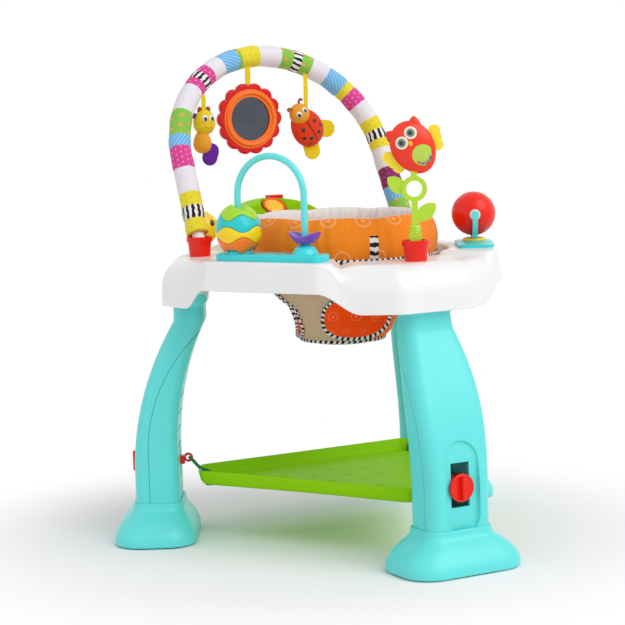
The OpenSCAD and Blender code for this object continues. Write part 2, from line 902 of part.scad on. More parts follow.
module platform() {
    tip_half = (plat_side_r - plat_tip_r * cos(60)) / sin(60);
    corners = [for (t = [60, 180, 300]) for (s = [-1, 1])
        [plat_tip_r * cos(t) - s * tip_half * sin(t), plat_tip_r * sin(t) + s * tip_half * cos(t)]];
    outer = round_outline(corners, plat_corner, 1);
    function drawn(d) = [for (p = outer) p * (1 - d / norm(p))];
    color("yellowgreen") at_axis() difference() {
        loft([
            at_height(drawn(plat_draft + plat_floor_t), plat_z),
            at_height(drawn(plat_draft), plat_z + plat_floor_t),
            at_height(drawn(plat_draft * draft_shares[0]), plat_z + plat_rim_h - plat_rim_t / 2),
            at_height(drawn(plat_rim_t * rim_shares[0]), plat_z + plat_rim_h),
            at_height(drawn(plat_rim_t * rim_shares[1]), plat_z + plat_rim_h),
            at_height(drawn(plat_rim_t + plat_draft), plat_z + plat_rim_h / 2),
            at_height(drawn(plat_rim_t + 2 * plat_draft), plat_z + plat_floor_t)
        ]);
        for (t = leg_turns) rotate([0, 0, t]) {
            translate([cord_hole_r, -notch_w / 2, notch_z])
                cube([plat_tip_r, notch_w, plat_rim_h]);
            for (s = [-1, 1])
                translate([cord_hole_r, s * cord_spread, plat_z - over])
                    cylinder(d = cord_d + 2 * slide_clear, h = plat_rim_h);
        }
    }
}

module cord_stoppers() {
    color("darkslategray") for (t = leg_turns) at_turn(t)
        translate([cord_hole_r, 0, plat_z - stopper_t]) cylinder(d = stopper_d, h = stopper_t);
}

// Tray

pod_turns = [0, 120, 240];
function off_turn(a, turns) = min([for (t = turns) abs((a - t + 540) % 360 - 180)]);
function hood_share(a) = 1 - smooth((off_turn(a, leg_turns) - hood_blend) / hood_fade);
function pod_share(a) = 1 - smooth((off_turn(a, pod_turns) - pod_blend) / pod_fade);
function tray_top(a) = valley_z + max((hood_z - valley_z) * hood_share(a), (pod_z - valley_z) * pod_share(a));

tray_corners = [for (t = [0, 120, 240]) each [
    [pod_r * cos(t) + pod_half * sin(t), pod_r * sin(t) - pod_half * cos(t)],
    [pod_r * cos(t) - pod_half * sin(t), pod_r * sin(t) + pod_half * cos(t)],
    [hood_r * cos(t + 60) + hood_half * sin(t + 60), hood_r * sin(t + 60) - hood_half * cos(t + 60)],
    [hood_r * cos(t + 60) - hood_half * sin(t + 60), hood_r * sin(t + 60) + hood_half * cos(t + 60)]
]];
tray_outline = round_outline(tray_corners, tray_corner, edge_parts);

function tray_section(p) =
    let(
        r = norm(p),
        d = p / r,
        a = atan2(p[1], p[0]),
        hood = hood_share(a),
        top = tray_top(a),
        run = pod_edge + (dome_depth - pod_edge) * hood,
        fall = pod_edge + (dome_h - pod_edge) * hood,
        low = pod_skirt_z + (hood_skirt_z - pod_skirt_z) * hood,
        foot = r + skirt_flare * (1 - hood),
        w = tray_wall,
        flat = concat(
            [[hole_r, tray_z - lip_h], [hole_r, tray_z], [step_r, tray_z], [step_r + step_run, top]],
            [for (k = [0:dome_steps]) let(b = 90 * k / dome_steps)
                [r - run + run * sin(b), top - fall + fall * cos(b)]],
            [[foot, low], [foot - w, low], [r - w, top - fall],
             [r - run + (run - w) * sin(45), top - fall + (fall - w) * cos(45)], [r - run - w / 2, top - w],
             [step_r + step_run + w, top - w], [step_r + w, tray_z - w], [hole_r + w, tray_z - w],
             [hole_r + w, tray_z - lip_h]]
        )
    )
    [for (q = flat) [d[0] * q[0], d[1] * q[0], q[1]]];

module tray_shell() {
    color("white") at_axis() ring_loft([for (p = tray_outline) tray_section(p)]);
}

// Inside of the skirt at a height
function skirt_in(p, z) =
    let(
        r = norm(p),
        hood = hood_share(atan2(p[1], p[0])),
        low = pod_skirt_z + (hood_skirt_z - pod_skirt_z) * hood,
        run = pod_edge + (dome_depth - pod_edge) * hood,
        fall = pod_edge + (dome_h - pod_edge) * hood,
        high = tray_top(atan2(p[1], p[0])) - fall,
        lean = tray_wall - run + (run - tray_wall) * sin(45)
    )
    r - tray_wall + (z < high
        ? skirt_flare * (1 - hood) * (high - z) / (high - low)
        : lean * (z - high) / ((fall - tray_wall) * cos(45)));

module tray_underside() {
    in_r = hole_r + tray_wall + socket_clear;
    color("gainsboro") at_axis() {
        ring_loft([for (p = tray_outline) let(d = unit(p))
            [for (q = [
                [in_r, under_z], [in_r, under_z + tray_wall],
                [skirt_in(p, under_z + tray_wall) - skirt_clear, under_z + tray_wall],
                [skirt_in(p, under_z) - skirt_clear, under_z]
            ]) [d[0] * q[0], d[1] * q[0], q[1]]]]);
        for (t = leg_turns) rotate([0, 0, t]) difference() {
            loft([for (z = [under_z - socket_h, under_z + tray_wall / 2])
                leg_ring(z, neck_step + socket_clear + socket_wall)]);
            loft([for (z = [under_z - socket_h - over, under_z]) leg_ring(z, neck_step + socket_clear)]);
        }
    }
}

// Seat

module seat_ring() {
    color("white") at_axis() translate([0, 0, seat_z]) rotate_extrude($fn = 96) {
        translate([seat_lip_r - seat_ring_t, -seat_lip_h]) square([seat_ring_t, seat_lip_h + seat_flange_t]);
        translate([seat_lip_r - seat_ring_t, 0])
            square([seat_flange_r - seat_lip_r + seat_ring_t, seat_flange_t]);
    }
}

module seat_collar() {
    mid = (collar_r + collar_in_r) / 2;
    half = (collar_r - collar_in_r) / 2;
    flat_share = 0.12;
    lean_share = 0.3;
    color("darkorange") at_turn(seat_turn) ring_loft([
        for (i = [0:collar_steps - 1]) let(t = 360 * i / collar_steps, puff = collar_pinch * abs(cos(t * collar_lobes / 2)))
            [for (k = [0:collar_sides - 1]) let(
                a = 180 - 360 * k / collar_sides,
                up = max(-1 + flat_share, sin(a)),
                r = mid + (half - collar_pinch + puff) * cos(a) - half * lean_share * max(0, up)
            ) [r * cos(t), r * sin(t),
               collar_z + collar_h / 2 * (up + 1 - flat_share) / (1 - flat_share / 2)
               - collar_pinch * (1 - abs(cos(t * collar_lobes / 2))) * max(0, up)]]
    ]);
}

module seat_sling() {
    n = len(sling_r_shares);
    wall_up = sling_top_z - sling_z;
    function sling_ring(k, inset) =
        [for (i = [0:sling_steps - 1]) let(t = 360 * i / sling_steps, r = sling_r * sling_r_shares[k] - inset)
            [r * cos(t), r * sin(t), sling_z + wall_up * sling_up_shares[k] + (k == n - 1 ? 0 : inset)]];
    color("orangered") at_turn(seat_turn) difference() {
        loft(concat(
            [for (k = [0:n - 1]) sling_ring(k, 0)],
            [for (k = [n - 1:-1:0]) sling_ring(k, sling_t)]
        ));
        for (s = [-1, 1]) rotate([0, 0, s * leg_hole_turn]) {
            half = (leg_hole_h - leg_hole_w) / 2;
            for (e = [-1, 1]) translate([0, 0, leg_hole_z + e * half]) spoke(leg_hole_w, sling_r / 3, sling_r + over);
            translate([sling_r / 3, -leg_hole_w / 2, leg_hole_z - half])
                cube([sling_r, leg_hole_w, 2 * half]);
        }
    }
}

// Flower pots and toy bar

module pot() {
    rim_r = pot_rim_d / 2;
    step = (rim_r - pot_foot_d / 2) / 2;
    rotate_extrude() polygon([
        [0, 0], [pot_foot_d / 2, 0], [rim_r - step, pot_h - pot_rim_h], [rim_r, pot_h - pot_rim_h],
        [rim_r, pot_h], [rim_r - well_wall, pot_h], [rim_r - well_wall, pot_h - well_depth], [0, pot_h - well_depth]
    ]);
}

module flower_pots() {
    color("red") difference() {
        for (t = leg_turns) at_turn(t) translate([pot_r, 0, hood_z]) pot();
        bar_path(tube_d + 2 * shaft_clear, bar_leg_l + tube_plug + clear);
    }
}

// The bar's line: a round top and two splayed legs
module bar_path(d, leg_l) {
    at_bar() translate([0, 0, bar_mid_h]) rotate([90, 0, 90]) {
        rotate([0, 0, bar_splay])
            rotate_extrude(angle = 180 - 2 * bar_splay, $fn = 120) translate([bar_r, 0]) circle(d = d);
        for (s = [-1, 1]) rotate([0, 0, s * bar_splay]) translate([s * bar_r, bar_lap, 0])
            rotate([90, 0, 0]) cylinder(d = d - 2 * bar_step, h = leg_l + bar_lap);
    }
}

module bar_tube() {
    color("white") {
        bar_path(tube_d, bar_leg_l + tube_plug);
        at_bar() translate([0, 0, bar_mid_h]) rotate([90, 0, 90]) for (s = [-1, 1])
            rotate([0, 0, s * bar_splay]) translate([s * bar_r, -bar_leg_l + sleeve_lift - clear, 0])
                rotate([90, 0, 0]) cylinder(d = bar_collar_d, h = bar_collar_l);
    }
}

module bar_sleeve() {
    color("hotpink") difference() {
        bar_path(sleeve_d, bar_leg_l - sleeve_lift);
        bar_path(tube_d + 2 * shaft_clear, bar_leg_l);
    }
}

// Hanging toys: each hangs from a strap sewn under the sleeve, its face towards the seat

module at_toy(at, w) { at_turn(music_turn) translate([under_r(at, w), at, 0]) children(); }

module strap(at, w, low_z) {
    top = under_z_at(at, w);
    color("gold") at_toy(at, w) {
        translate([-strap_t / 2, -w / 2, low_z]) cube([strap_t, w, top - low_z]);
        translate([0, 0, top]) rotate([90, 0, 0]) cylinder(d = strap_t, h = w, center = true);
    }
}

module mirror_strap() { strap(mirror_at, strap_w, mirror_z + mirror_d / 2); }

module mirror_frame() {
    mid_r = (mirror_d - petal_d) / 2;
    half = 180 / petals;
    reach = 90 + half - acos(2 * mid_r * sin(half) / petal_d);
    color("red") at_toy(mirror_at, strap_w) translate([0, 0, mirror_z]) difference() {
        rotate([0, 90, 0]) linear_extrude(mirror_t, center = true) polygon([
            for (k = [0:petals - 1]) for (j = [0:petal_steps - 1])
                let(t = 360 * k / petals, a = t - reach + 2 * reach * j / petal_steps)
                    mid_r * [cos(t), sin(t)] + petal_d / 2 * [cos(a), sin(a)]
        ]);
        spoke(mirror_ring_d + 2 * shaft_clear, -mirror_t / 2 - over, -mirror_t / 2 + pocket_depth);
        spoke(mirror_glass_d + 2 * shaft_clear, -mirror_t / 2 - over, -mirror_t / 2 + 2 * pocket_depth);
    }
}

module mirror_ring() {
    bead = 2 * pocket_depth;
    color("orange") at_toy(mirror_at, strap_w) translate([-mirror_t / 2 + pocket_depth, 0, mirror_z]) rotate([0, -90, 0])
        rotate_extrude($fn = 72) {
            ring_in = mirror_glass_d / 2 - pocket_depth;
            translate([ring_in, 0]) square([mirror_ring_d / 2 - ring_in, pocket_depth]);
            translate([mirror_ring_d / 2 - bead, pocket_depth]) circle(d = bead);
        }
}

module mirror_glass() {
    color("silver") at_toy(mirror_at, strap_w) translate([0, 0, mirror_z])
        spoke(mirror_glass_d, -mirror_t / 2 + pocket_depth, -mirror_t / 2 + 2 * pocket_depth);
}

module at_ladybird() { at_toy(ladybird_at, loop_w) translate([0, 0, ladybird_z]) rotate([ladybird_tilt, 0, 0]) children(); }
module ladybird_form(grow) {
    stuffed(ladybird_w + grow, ladybird_t + grow, ladybird_l + grow, body_taper_share);
}

module ladybird_strap() {
    difference() {
        strap(ladybird_at, loop_w, ladybird_z);
        at_ladybird() ladybird_form(2 * clear);
        ladybird_head_at() ladybird_head_form(2 * clear);
    }
}

module ladybird_body() { color("red") at_ladybird() ladybird_form(0); }

module ladybird_head_at() {
    at_ladybird() translate([-ladybird_t / 6, 0, ladybird_l / 2 - ladybird_head_d / 6]) children();
}
module ladybird_head_form(grow) {
    stuffed(ladybird_head_d + grow, ladybird_t + grow, ladybird_head_d + grow, head_taper_share);
}

module ladybird_head() {
    color("gold") difference() {
        ladybird_head_at() ladybird_head_form(0);
        at_ladybird() ladybird_form(2 * clear);
    }
}

module ladybird_wings() {
    wing_d = ladybird_w / 2;
    turns = [130, 198];
    color("yellow") difference() {
        at_ladybird() translate([ladybird_t / 6, 0, 0]) for (a = turns) rotate([a, 0, 0])
            for (z = [felt_l / 2, felt_l]) translate([0, 0, z]) spoke(wing_d, -felt_t / 2, felt_t / 2);
        at_ladybird() ladybird_form(2 * clear);
    }
}

module at_giraffe() { at_toy(giraffe_at, loop_w) translate([0, 0, giraffe_z]) children(); }
module giraffe_head_form(grow) {
    stuffed(giraffe_w + grow, giraffe_t + grow, giraffe_h + grow, body_taper_share);
}
module giraffe_body_form(grow) {
    translate([0, giraffe_w / 8, -giraffe_h / 2 - giraffe_body_l / 4])
        stuffed(giraffe_t + grow, giraffe_body_t + grow, giraffe_body_l + grow, neck_taper_share);
}

module giraffe_strap() {
    difference() {
        strap(giraffe_at, loop_w, giraffe_z);
        at_giraffe() giraffe_head_form(2 * clear);
    }
}

module giraffe_head() {
    horn_at = giraffe_w / 5;
    color("gold") at_giraffe() {
        giraffe_head_form(0);
        for (s = [-1, 1]) translate([0, s * horn_at, giraffe_h / 2 - horn_d / 4]) sphere(d = horn_d);
    }
}

module giraffe_body() {
    color("orange") difference() {
        at_giraffe() giraffe_body_form(0);
        at_giraffe() giraffe_head_form(2 * clear);
    }
}

module giraffe_teether() {
    half = (teether_l - teether_w) / 2;
    color("purple") difference() {
        at_giraffe() translate([0, -giraffe_w / 4, -giraffe_h / 2 - giraffe_body_l * teether_at_share]) rotate([teether_turn, 0, 0])
            for (s = [-1, 1]) translate([0, 0, s * half]) spoke(teether_w, -teether_t / 2, teether_t / 2);
        at_giraffe() giraffe_body_form(2 * clear);
        at_giraffe() giraffe_head_form(2 * clear);
    }
}

// Base plates of the toys on the pads

module base_plate(length, w, t) {
    hx = w / 2 - plate_corner;
    hy = length / 2 - plate_corner;
    translate([-hx, -length / 2, 0]) cube([2 * hx, length, t]);
    translate([-w / 2, -hy, 0]) cube([w, 2 * hy, t]);
    for (x = [-hx, hx]) for (y = [-hy, hy]) translate([x, y, 0]) cylinder(r = plate_corner, h = t);
}

// Bead toy

module at_bead() { at_turn(bead_turn) translate([bead_r, 0, 0]) children(); }

module bead_base() {
    top_r = wire_d;
    color("darkturquoise") difference() {
        at_bead() translate([0, 0, pod_z]) {
            base_plate(bead_plate_l, bead_plate_w, plate_t);
            for (s = [-1, 1]) translate([0, s * wire_half, plate_t]) rotate_extrude() intersection() {
                translate([0, bead_dome_h - dome_d / 2]) circle(d = dome_d);
                square([dome_d / 2, bead_dome_h]);
            }
        }
        at_bead() for (s = [-1, 1]) translate([0, s * wire_half, pod_z + plate_t / 2])
            cylinder(d = wire_d + 2 * shaft_clear, h = plate_t + bead_dome_h);
    }
}

module bead_wire() {
    foot_z = pod_z + plate_t / 2;
    color("turquoise") at_bead() {
        for (s = [-1, 1]) translate([0, s * wire_half, foot_z]) cylinder(d = wire_d, h = wire_z - foot_z);
        translate([0, 0, wire_z]) rotate([90, 0, 90])
            rotate_extrude(angle = 180, $fn = 72) translate([wire_half, 0]) circle(d = wire_d);
    }
}

// Radius of the egg's outline at a share of its height
function egg_out(share) = egg_d / 2 * (share < egg_wide_share
    ? egg_foot_share + (1 - egg_foot_share) * sin(90 * share / egg_wide_share)
    : sqrt(1 - pow((share - egg_wide_share) / egg_tip_share, 2)));

module egg_layer(k, tint) {
    function edge(j, t) =
        egg_h * egg_cut_shares[j] + egg_wave * (j % 2 == 0 ? 1 : -1) * cos(egg_lobes * t)
        + (j == 0 ? egg_wave : (j == 4 ? -egg_wave : 0));
    function at_wall(z) = egg_out(clamp01(z / egg_h));
    color(tint) difference() {
        at_bead() translate([0, -wire_half, egg_z]) ring_loft([
            for (i = [0:egg_steps - 1]) let(
                t = 360 * i / egg_steps,
                low = edge(k, t) + egg_gap / 2,
                high = edge(k + 1, t) - egg_gap / 2,
                in_low = egg_h * egg_cut_shares[k] + egg_gap / 2 + (k == 0 ? egg_wave : 0),
                in_high = egg_h * egg_cut_shares[k + 1] - egg_gap / 2 - (k == 3 ? egg_wave : 0)
            )
            [for (q = [
                [bead_bore_r, in_low], [bead_bore_r, in_high], [at_wall(high), high],
                [at_wall(high * 2 / 3 + low / 3), high * 2 / 3 + low / 3],
                [at_wall(high / 3 + low * 2 / 3), high / 3 + low * 2 / 3], [at_wall(low), low]
            ]) [q[0] * cos(t), q[0] * sin(t), q[1]]]
        ]);
        if (k == 0)
            at_bead() translate([0, -wire_half, pod_z + plate_t])
                cylinder(r = egg_dome_r, h = egg_dome_top - pod_z - plate_t);
    }
}
module egg_bottom() { egg_layer(0, "darkorange"); }
module egg_lower_band() { egg_layer(1, "gold"); }
module egg_upper_band() { egg_layer(2, "turquoise"); }
module egg_top() { egg_layer(3, "yellowgreen"); }

module cup_bead() {
    floor_z = cup_wall;
    hub_h = cup_h / 2;
    hub_r = bead_bore_r + cup_wall;
    foot_r_c = cup_d / 4;
    color("blueviolet") at_bead() translate([0, wire_half, bead_seat_z + clear]) ring_loft([
        for (i = [0:cup_steps - 1]) let(
            t = 360 * i / cup_steps,
            rim = cup_h - cup_wave + cup_wave * cos(cup_petals * (t + 90)),
            out = cup_d / 2 - cup_wave + cup_wave * cos(cup_petals * (t + 90))
        )
        [for (q = [
            [bead_bore_r, 0], [bead_bore_r, hub_h], [hub_r, hub_h], [hub_r + cup_wall / 2, floor_z + cup_wall],
            [out - cup_wall, rim], [out, rim], [(out + foot_r_c) / 2 + cup_wall / 2, rim / 2], [foot_r_c, 0]
        ]) [q[0] * cos(t), q[0] * sin(t), q[1]]]
    ]);
}

// Owl toy: it faces straight out from the tray's near side

module at_owl() {
    at_turn(leg_turns[1]) translate([pot_r, 0, owl_pivot_z]) rotate([0, 0, -leg_turns[1]]) children();
}
owl_up = hood_z + pot_h - owl_pivot_z;
owl_mid_z = owl_up + owl_mid_h;
owl_loop_z = owl_up + owl_loop_h;
module owl_plate(d) { rotate([90, 0, 0]) cylinder(d = d, h = owl_stem_t, center = true); }
module owl_leaf(r) {
    rotate([90, 0, 0]) intersection() {
        translate([r / 2, 0, 0]) cylinder(r = r, h = owl_stem_t / 2, center = true);
        translate([-r / 2, 0, 0]) cylinder(r = r, h = owl_stem_t / 2, center = true);
    }
}
module owl_tilted() { translate([0, 0, owl_mid_z]) rotate([0, -owl_tilt, 0]) children(); }
module owl_form(grow) {
    rotate([0, 0, 90]) stuffed(owl_w + grow, owl_t + grow, owl_h + grow, owl_taper_share);
}

module owl_stem() {
    rib_d = owl_ball_d * owl_rib_share;
    stem_top = owl_loop_z - owl_loop_hole_r - owl_stem_w / 4;
    color("yellowgreen") difference() {
        at_owl() {
            rotate([90, 0, 0]) cylinder(d = owl_ball_d, h = owl_ball_d * owl_barrel_share, center = true);
            for (k = [0:owl_ribs - 1]) translate([0, 0, owl_ball_d / 4 + k * owl_rib_step_shares[0] * owl_rib_t])
                cylinder(d1 = rib_d, d2 = rib_d - owl_rib_t, h = owl_rib_step_shares[1] * owl_rib_t);
            translate([-owl_stem_w / 2, -owl_stem_t / 2, 0]) cube([owl_stem_w, owl_stem_t, stem_top]);
            translate([0, 0, owl_loop_z]) owl_plate(2 * owl_loop_r);
            translate([-owl_stem_w / 2, -owl_stem_t / 2, owl_loop_z])
                cube([owl_stem_w, owl_stem_t, owl_mid_z - owl_loop_z]);
            translate([owl_leaf_r * owl_leaf_share, 0, owl_loop_z / 2]) rotate([0, owl_leaf_turn, 0]) owl_leaf(owl_leaf_r);
            translate([-owl_loop_r - owl_leaf_r / 4, 0, owl_loop_z + owl_leaf_r / 4]) rotate([0, -owl_leaf_turn, 0])
                owl_leaf(owl_leaf_r);
        }
        at_owl() owl_tilted() owl_form(2 * clear);
        at_owl() translate([0, 0, owl_loop_z]) rotate([90, 0, 0])
            cylinder(r = owl_loop_hole_r, h = 2 * owl_stem_t, center = true);
    }
}

window_at_shares = [0.1, -0.2];
module owl_window_cut(d, depth) {
    translate([window_at_shares[0] * owl_w, -owl_t / 2, window_at_shares[1] * owl_h])
        rotate([-90, 0, 0]) cylinder(d = d, h = depth);
}

module owl_body() {
    color("orangered") at_owl() owl_tilted() difference() {
        union() {
            owl_form(0);
            for (s = [-1, 1]) translate([s * owl_w * owl_ear_share, 0, owl_h / 2 - owl_ear_r]) sphere(r = owl_ear_r);
        }
        owl_window_cut(owl_window_d, owl_window_t);
    }
}

module owl_window() {
    color("greenyellow") at_owl() owl_tilted() intersection() {
        owl_window_cut(owl_window_d - 2 * shaft_clear, owl_window_t);
        owl_form(0);
    }
}

module owl_wings() {
    color("yellow") difference() {
        at_owl() owl_tilted() for (s = [-1, 1]) for (k = [0:2])
            translate([s * (owl_w / 2 + owl_wing_lobe * wing_out_shares[k]), owl_t / 6, owl_wing_lobe * wing_up_shares[k]])
                rotate([90, 0, 0]) cylinder(r = owl_wing_lobe, h = owl_wing_t, center = true);
        at_owl() owl_tilted() owl_form(2 * clear);
    }
}

// Ball toy: the ball turns on stub pins of a fork

module at_ball() { at_turn(ball_turn) translate([ball_at_r, 0, 0]) children(); }

module ball_base() {
    color("darkturquoise") at_ball() {
        translate([0, 0, pod_z]) base_plate(ball_plate_l, plate_w, ball_plate_t);
        translate([0, 0, neck_z0]) cylinder(d1 = neck_d, d2 = neck_top_d, h = fork_foot_z - neck_z0);
    }
}

module ball_ring() {
    color("gold") difference() {
        at_ball() translate([0, 0, fork_foot_z - ring_h / 2]) rotate_extrude() {
            translate([neck_top_d / 2, 0]) square([(ring_d - neck_top_d) / 2 - ring_h / 2, ring_h]);
            translate([(ring_d - ring_h) / 2, ring_h / 2]) circle(d = ring_h);
        }
        at_ball() translate([0, 0, neck_z0])
            cylinder(d1 = neck_d + 2 * clear, d2 = neck_top_d + 2 * clear, h = fork_foot_z - neck_z0);
        at_ball() translate([0, 0, ball_z]) rotate([0, 90, 0])
            cylinder(r = fork_r + fork_t + clear, h = fork_w + 2 * clear, center = true);
        at_ball() translate([0, 0, fork_foot_z]) cylinder(d = neck_top_d, h = ring_h);
    }
}

module ball_fork() {
    pin_in = fork_r / 2;
    color("turquoise") at_ball() translate([0, 0, ball_z]) {
        rotate([90, 0, 90]) rotate([0, 0, 180]) rotate_extrude(angle = 180, $fn = 72)
            translate([fork_r, -fork_w / 2]) square([fork_t, fork_w]);
        translate([0, 0, -fork_r - fork_t]) cylinder(d = neck_top_d - 2 * clear, h = fork_t / 2);
        for (s = [-1, 1]) {
            translate([0, s * (fork_r + fork_t / 2), 0]) rotate([90, 0, 0])
                cylinder(d = fork_w + fork_t, h = fork_t, center = true);
            translate([0, s * (fork_r + fork_t / 2 + pin_in) / 2, 0]) rotate([90, 0, 0])
                cylinder(d = axle_d, h = fork_r + fork_t / 2 - pin_in, center = true);
        }
    }
}

module ball() {
    color("red") at_ball() translate([0, 0, ball_z]) difference() {
        union() {
            sphere(d = ball_d, $fn = 72);
            rotate([90, 0, 0]) cylinder(d = hub_d, h = 2 * (fork_r - slide_clear), center = true);
        }
        rotate([90, 0, 0]) cylinder(d = axle_d + 2 * shaft_clear, h = 2 * fork_r, center = true);
    }
}

// Music toy on the far pad, its face towards the seat

module at_music() { at_turn(music_turn) translate([music_r, 0, pod_z]) children(); }
module at_drum() {
    at_turn(music_turn) translate([music_r - drum_face_in, drum_at, drum_z]) rotate([0, -drum_lean, 0]) children();
}

// Its side view: a crest with a round back
module music_outline(grow) {
    rotate([90, 0, 90]) linear_extrude(music_w + 2 * grow, center = true) intersection() {
        translate([music_off, crest_h - crest_r]) circle(r = crest_r + grow, $fn = 96);
        translate([music_off - music_l / 2 - grow, 0]) square([music_l + 2 * grow, crest_h + grow]);
    }
}

module music_body() {
    well_d = drum_stem_d + 2 * slide_clear;
    arch_w = music_l * arch_share;
    color("yellowgreen") difference() {
        union() {
            at_music() base_plate(music_l, plate_w, plate_t);
            at_music() difference() {
                music_outline(0);
                translate([0, music_l * arch_at_share, plate_t]) rotate([0, 90, 0])
                    cylinder(d = arch_w, h = 2 * music_w, center = true);
            }
            at_drum() translate([0, 0, -boss_l - drum_travel - slide_clear]) cylinder(d = boss_d, h = boss_l);
            music_neck(0);
        }
        at_drum() translate([0, 0, -drum_travel - slide_clear]) cylinder(d = drum_d + 2 * slide_clear, h = music_w);
        at_drum() translate([0, 0, -boss_l]) cylinder(d = well_d, h = boss_l + over);
        at_music() translate([key_back - key_w / 2 - slide_clear, key_at - key_l / 2 - slide_clear, crest_h - key_out - key_travel])
            cube([key_w + 2 * slide_clear, key_l + 2 * slide_clear, crest_h]);
    }
}

module music_drum() {
    color("gold") at_drum() {
        cylinder(d = drum_d, h = drum_t);
        translate([0, 0, -boss_l + drum_travel + 2 * slide_clear]) cylinder(d = drum_stem_d, h = boss_l);
    }
}

module music_key() {
    color("red") at_music() translate([key_back, key_at, crest_h - key_out + clear])
        translate([-key_w / 2, -key_l / 2, 0]) cube([key_w, key_l, 2 * key_out]);
}

module music_neck(grow) {
    at_music() translate([0, music_off + music_l / 2 - over, head_rise]) rotate([-90, 0, 0])
        cylinder(d = head_neck_d + 2 * grow, h = head_at - music_off - music_l / 2 + over + grow);
}

module music_head() {
    color("yellow") difference() {
        at_music() translate([0, head_at, head_rise]) {
            stuffed(head_d, head_d * head_deep_share, head_d, head_taper_share);
            translate([0, head_d / 3, head_d / 2 - nub_d / 4]) sphere(d = nub_d);
        }
        at_music() music_outline(clear);
        music_neck(clear);
    }
}

tray_shell();
tray_underside();
leg_shell(0);  // leg_left_shell
leg_shell(1);  // leg_right_shell
leg_shell(2);  // leg_rear_shell
leg_cover(0);  // leg_left_cover
leg_cover(1);  // leg_right_cover
leg_cover(2);  // leg_rear_cover
foot(0);  // foot_left
foot(1);  // foot_right
foot(2);  // foot_rear
foot_pads();
slider(0);  // slider_left
slider(1);  // slider_right
slider(2);  // slider_rear
knob(0);  // knob_left
knob(1);  // knob_right
knob(2);  // knob_rear
cord(0);  // cord_left
cord(1);  // cord_right
cord(2);  // cord_rear
platform();
cord_stoppers();
seat_ring();
seat_collar();
seat_sling();
flower_pots();
bar_tube();
bar_sleeve();
bead_base();
bead_wire();
egg_bottom();
egg_lower_band();
egg_upper_band();
egg_top();
cup_bead();
owl_stem();
owl_body();
owl_wings();
owl_window();
ball_base();
ball_ring();
ball_fork();
ball();
music_body();
music_drum();
music_key();
music_head();
mirror_strap();
mirror_frame();
mirror_ring();
mirror_glass();
ladybird_strap();
ladybird_body();
ladybird_head();
ladybird_wings();
giraffe_strap();
giraffe_head();
giraffe_body();
giraffe_teether();
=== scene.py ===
from functools import partialmethod
from math import acos, atan2, cos, degrees, pi, radians, sin, sqrt, tan

import bmesh
import bpy
import numpy as np
from mathutils import Matrix, Vector


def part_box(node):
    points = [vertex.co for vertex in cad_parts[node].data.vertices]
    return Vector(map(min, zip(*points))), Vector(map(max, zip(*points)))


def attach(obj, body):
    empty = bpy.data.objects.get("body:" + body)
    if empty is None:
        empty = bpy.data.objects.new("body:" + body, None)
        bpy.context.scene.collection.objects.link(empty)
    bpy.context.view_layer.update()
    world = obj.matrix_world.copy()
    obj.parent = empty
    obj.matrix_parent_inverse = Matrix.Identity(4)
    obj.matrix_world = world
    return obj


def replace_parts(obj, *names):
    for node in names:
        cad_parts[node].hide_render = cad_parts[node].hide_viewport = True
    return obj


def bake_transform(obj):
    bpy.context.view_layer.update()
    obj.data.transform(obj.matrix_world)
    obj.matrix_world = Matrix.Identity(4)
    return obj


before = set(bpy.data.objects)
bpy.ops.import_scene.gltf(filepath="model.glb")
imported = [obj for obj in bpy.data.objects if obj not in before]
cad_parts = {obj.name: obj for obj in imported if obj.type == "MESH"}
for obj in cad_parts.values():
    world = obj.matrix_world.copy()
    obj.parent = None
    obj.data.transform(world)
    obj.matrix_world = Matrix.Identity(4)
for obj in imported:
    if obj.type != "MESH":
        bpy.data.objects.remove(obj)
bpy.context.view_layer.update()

scene = bpy.context.scene
scene.view_settings.view_transform = "Standard"


# Studio. The camera stands where the photograph was taken from: level with the tray, a little
# above it, with a long lens. The floor is plain and pale, and the light is broad and soft.
yaw, pitch, roll = radians(0.69), radians(6.58), radians(-1.73)
focal_px, photo_px, film_mm, stand_off = 2019.55, 625, 36, 3.2
back = Vector((sin(yaw) * cos(pitch), -cos(yaw) * cos(pitch), sin(pitch)))
side = Vector((cos(yaw), sin(yaw), 0))
rise = back.cross(side)
axis = (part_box("seat_ring")[0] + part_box("seat_ring")[1]) / 2
look_at = side * -0.04706 + Vector((axis.x, 0, 0.3542))
right = side * cos(roll) + rise * sin(roll)
up = rise * cos(roll) - side * sin(roll)


def linked(name, data):
    made = bpy.data.objects.new(name, data)
    scene.collection.objects.link(made)
    return made


camera = linked("photo_camera", bpy.data.cameras.new("photo_camera"))
camera.data.lens, camera.data.sensor_width = focal_px / photo_px * film_mm, film_mm
camera.data.clip_end = 50
aim = Matrix((right, up, back)).transposed().to_4x4()
camera.matrix_world = Matrix.Translation(look_at + back * stand_off) @ aim
scene.camera = camera


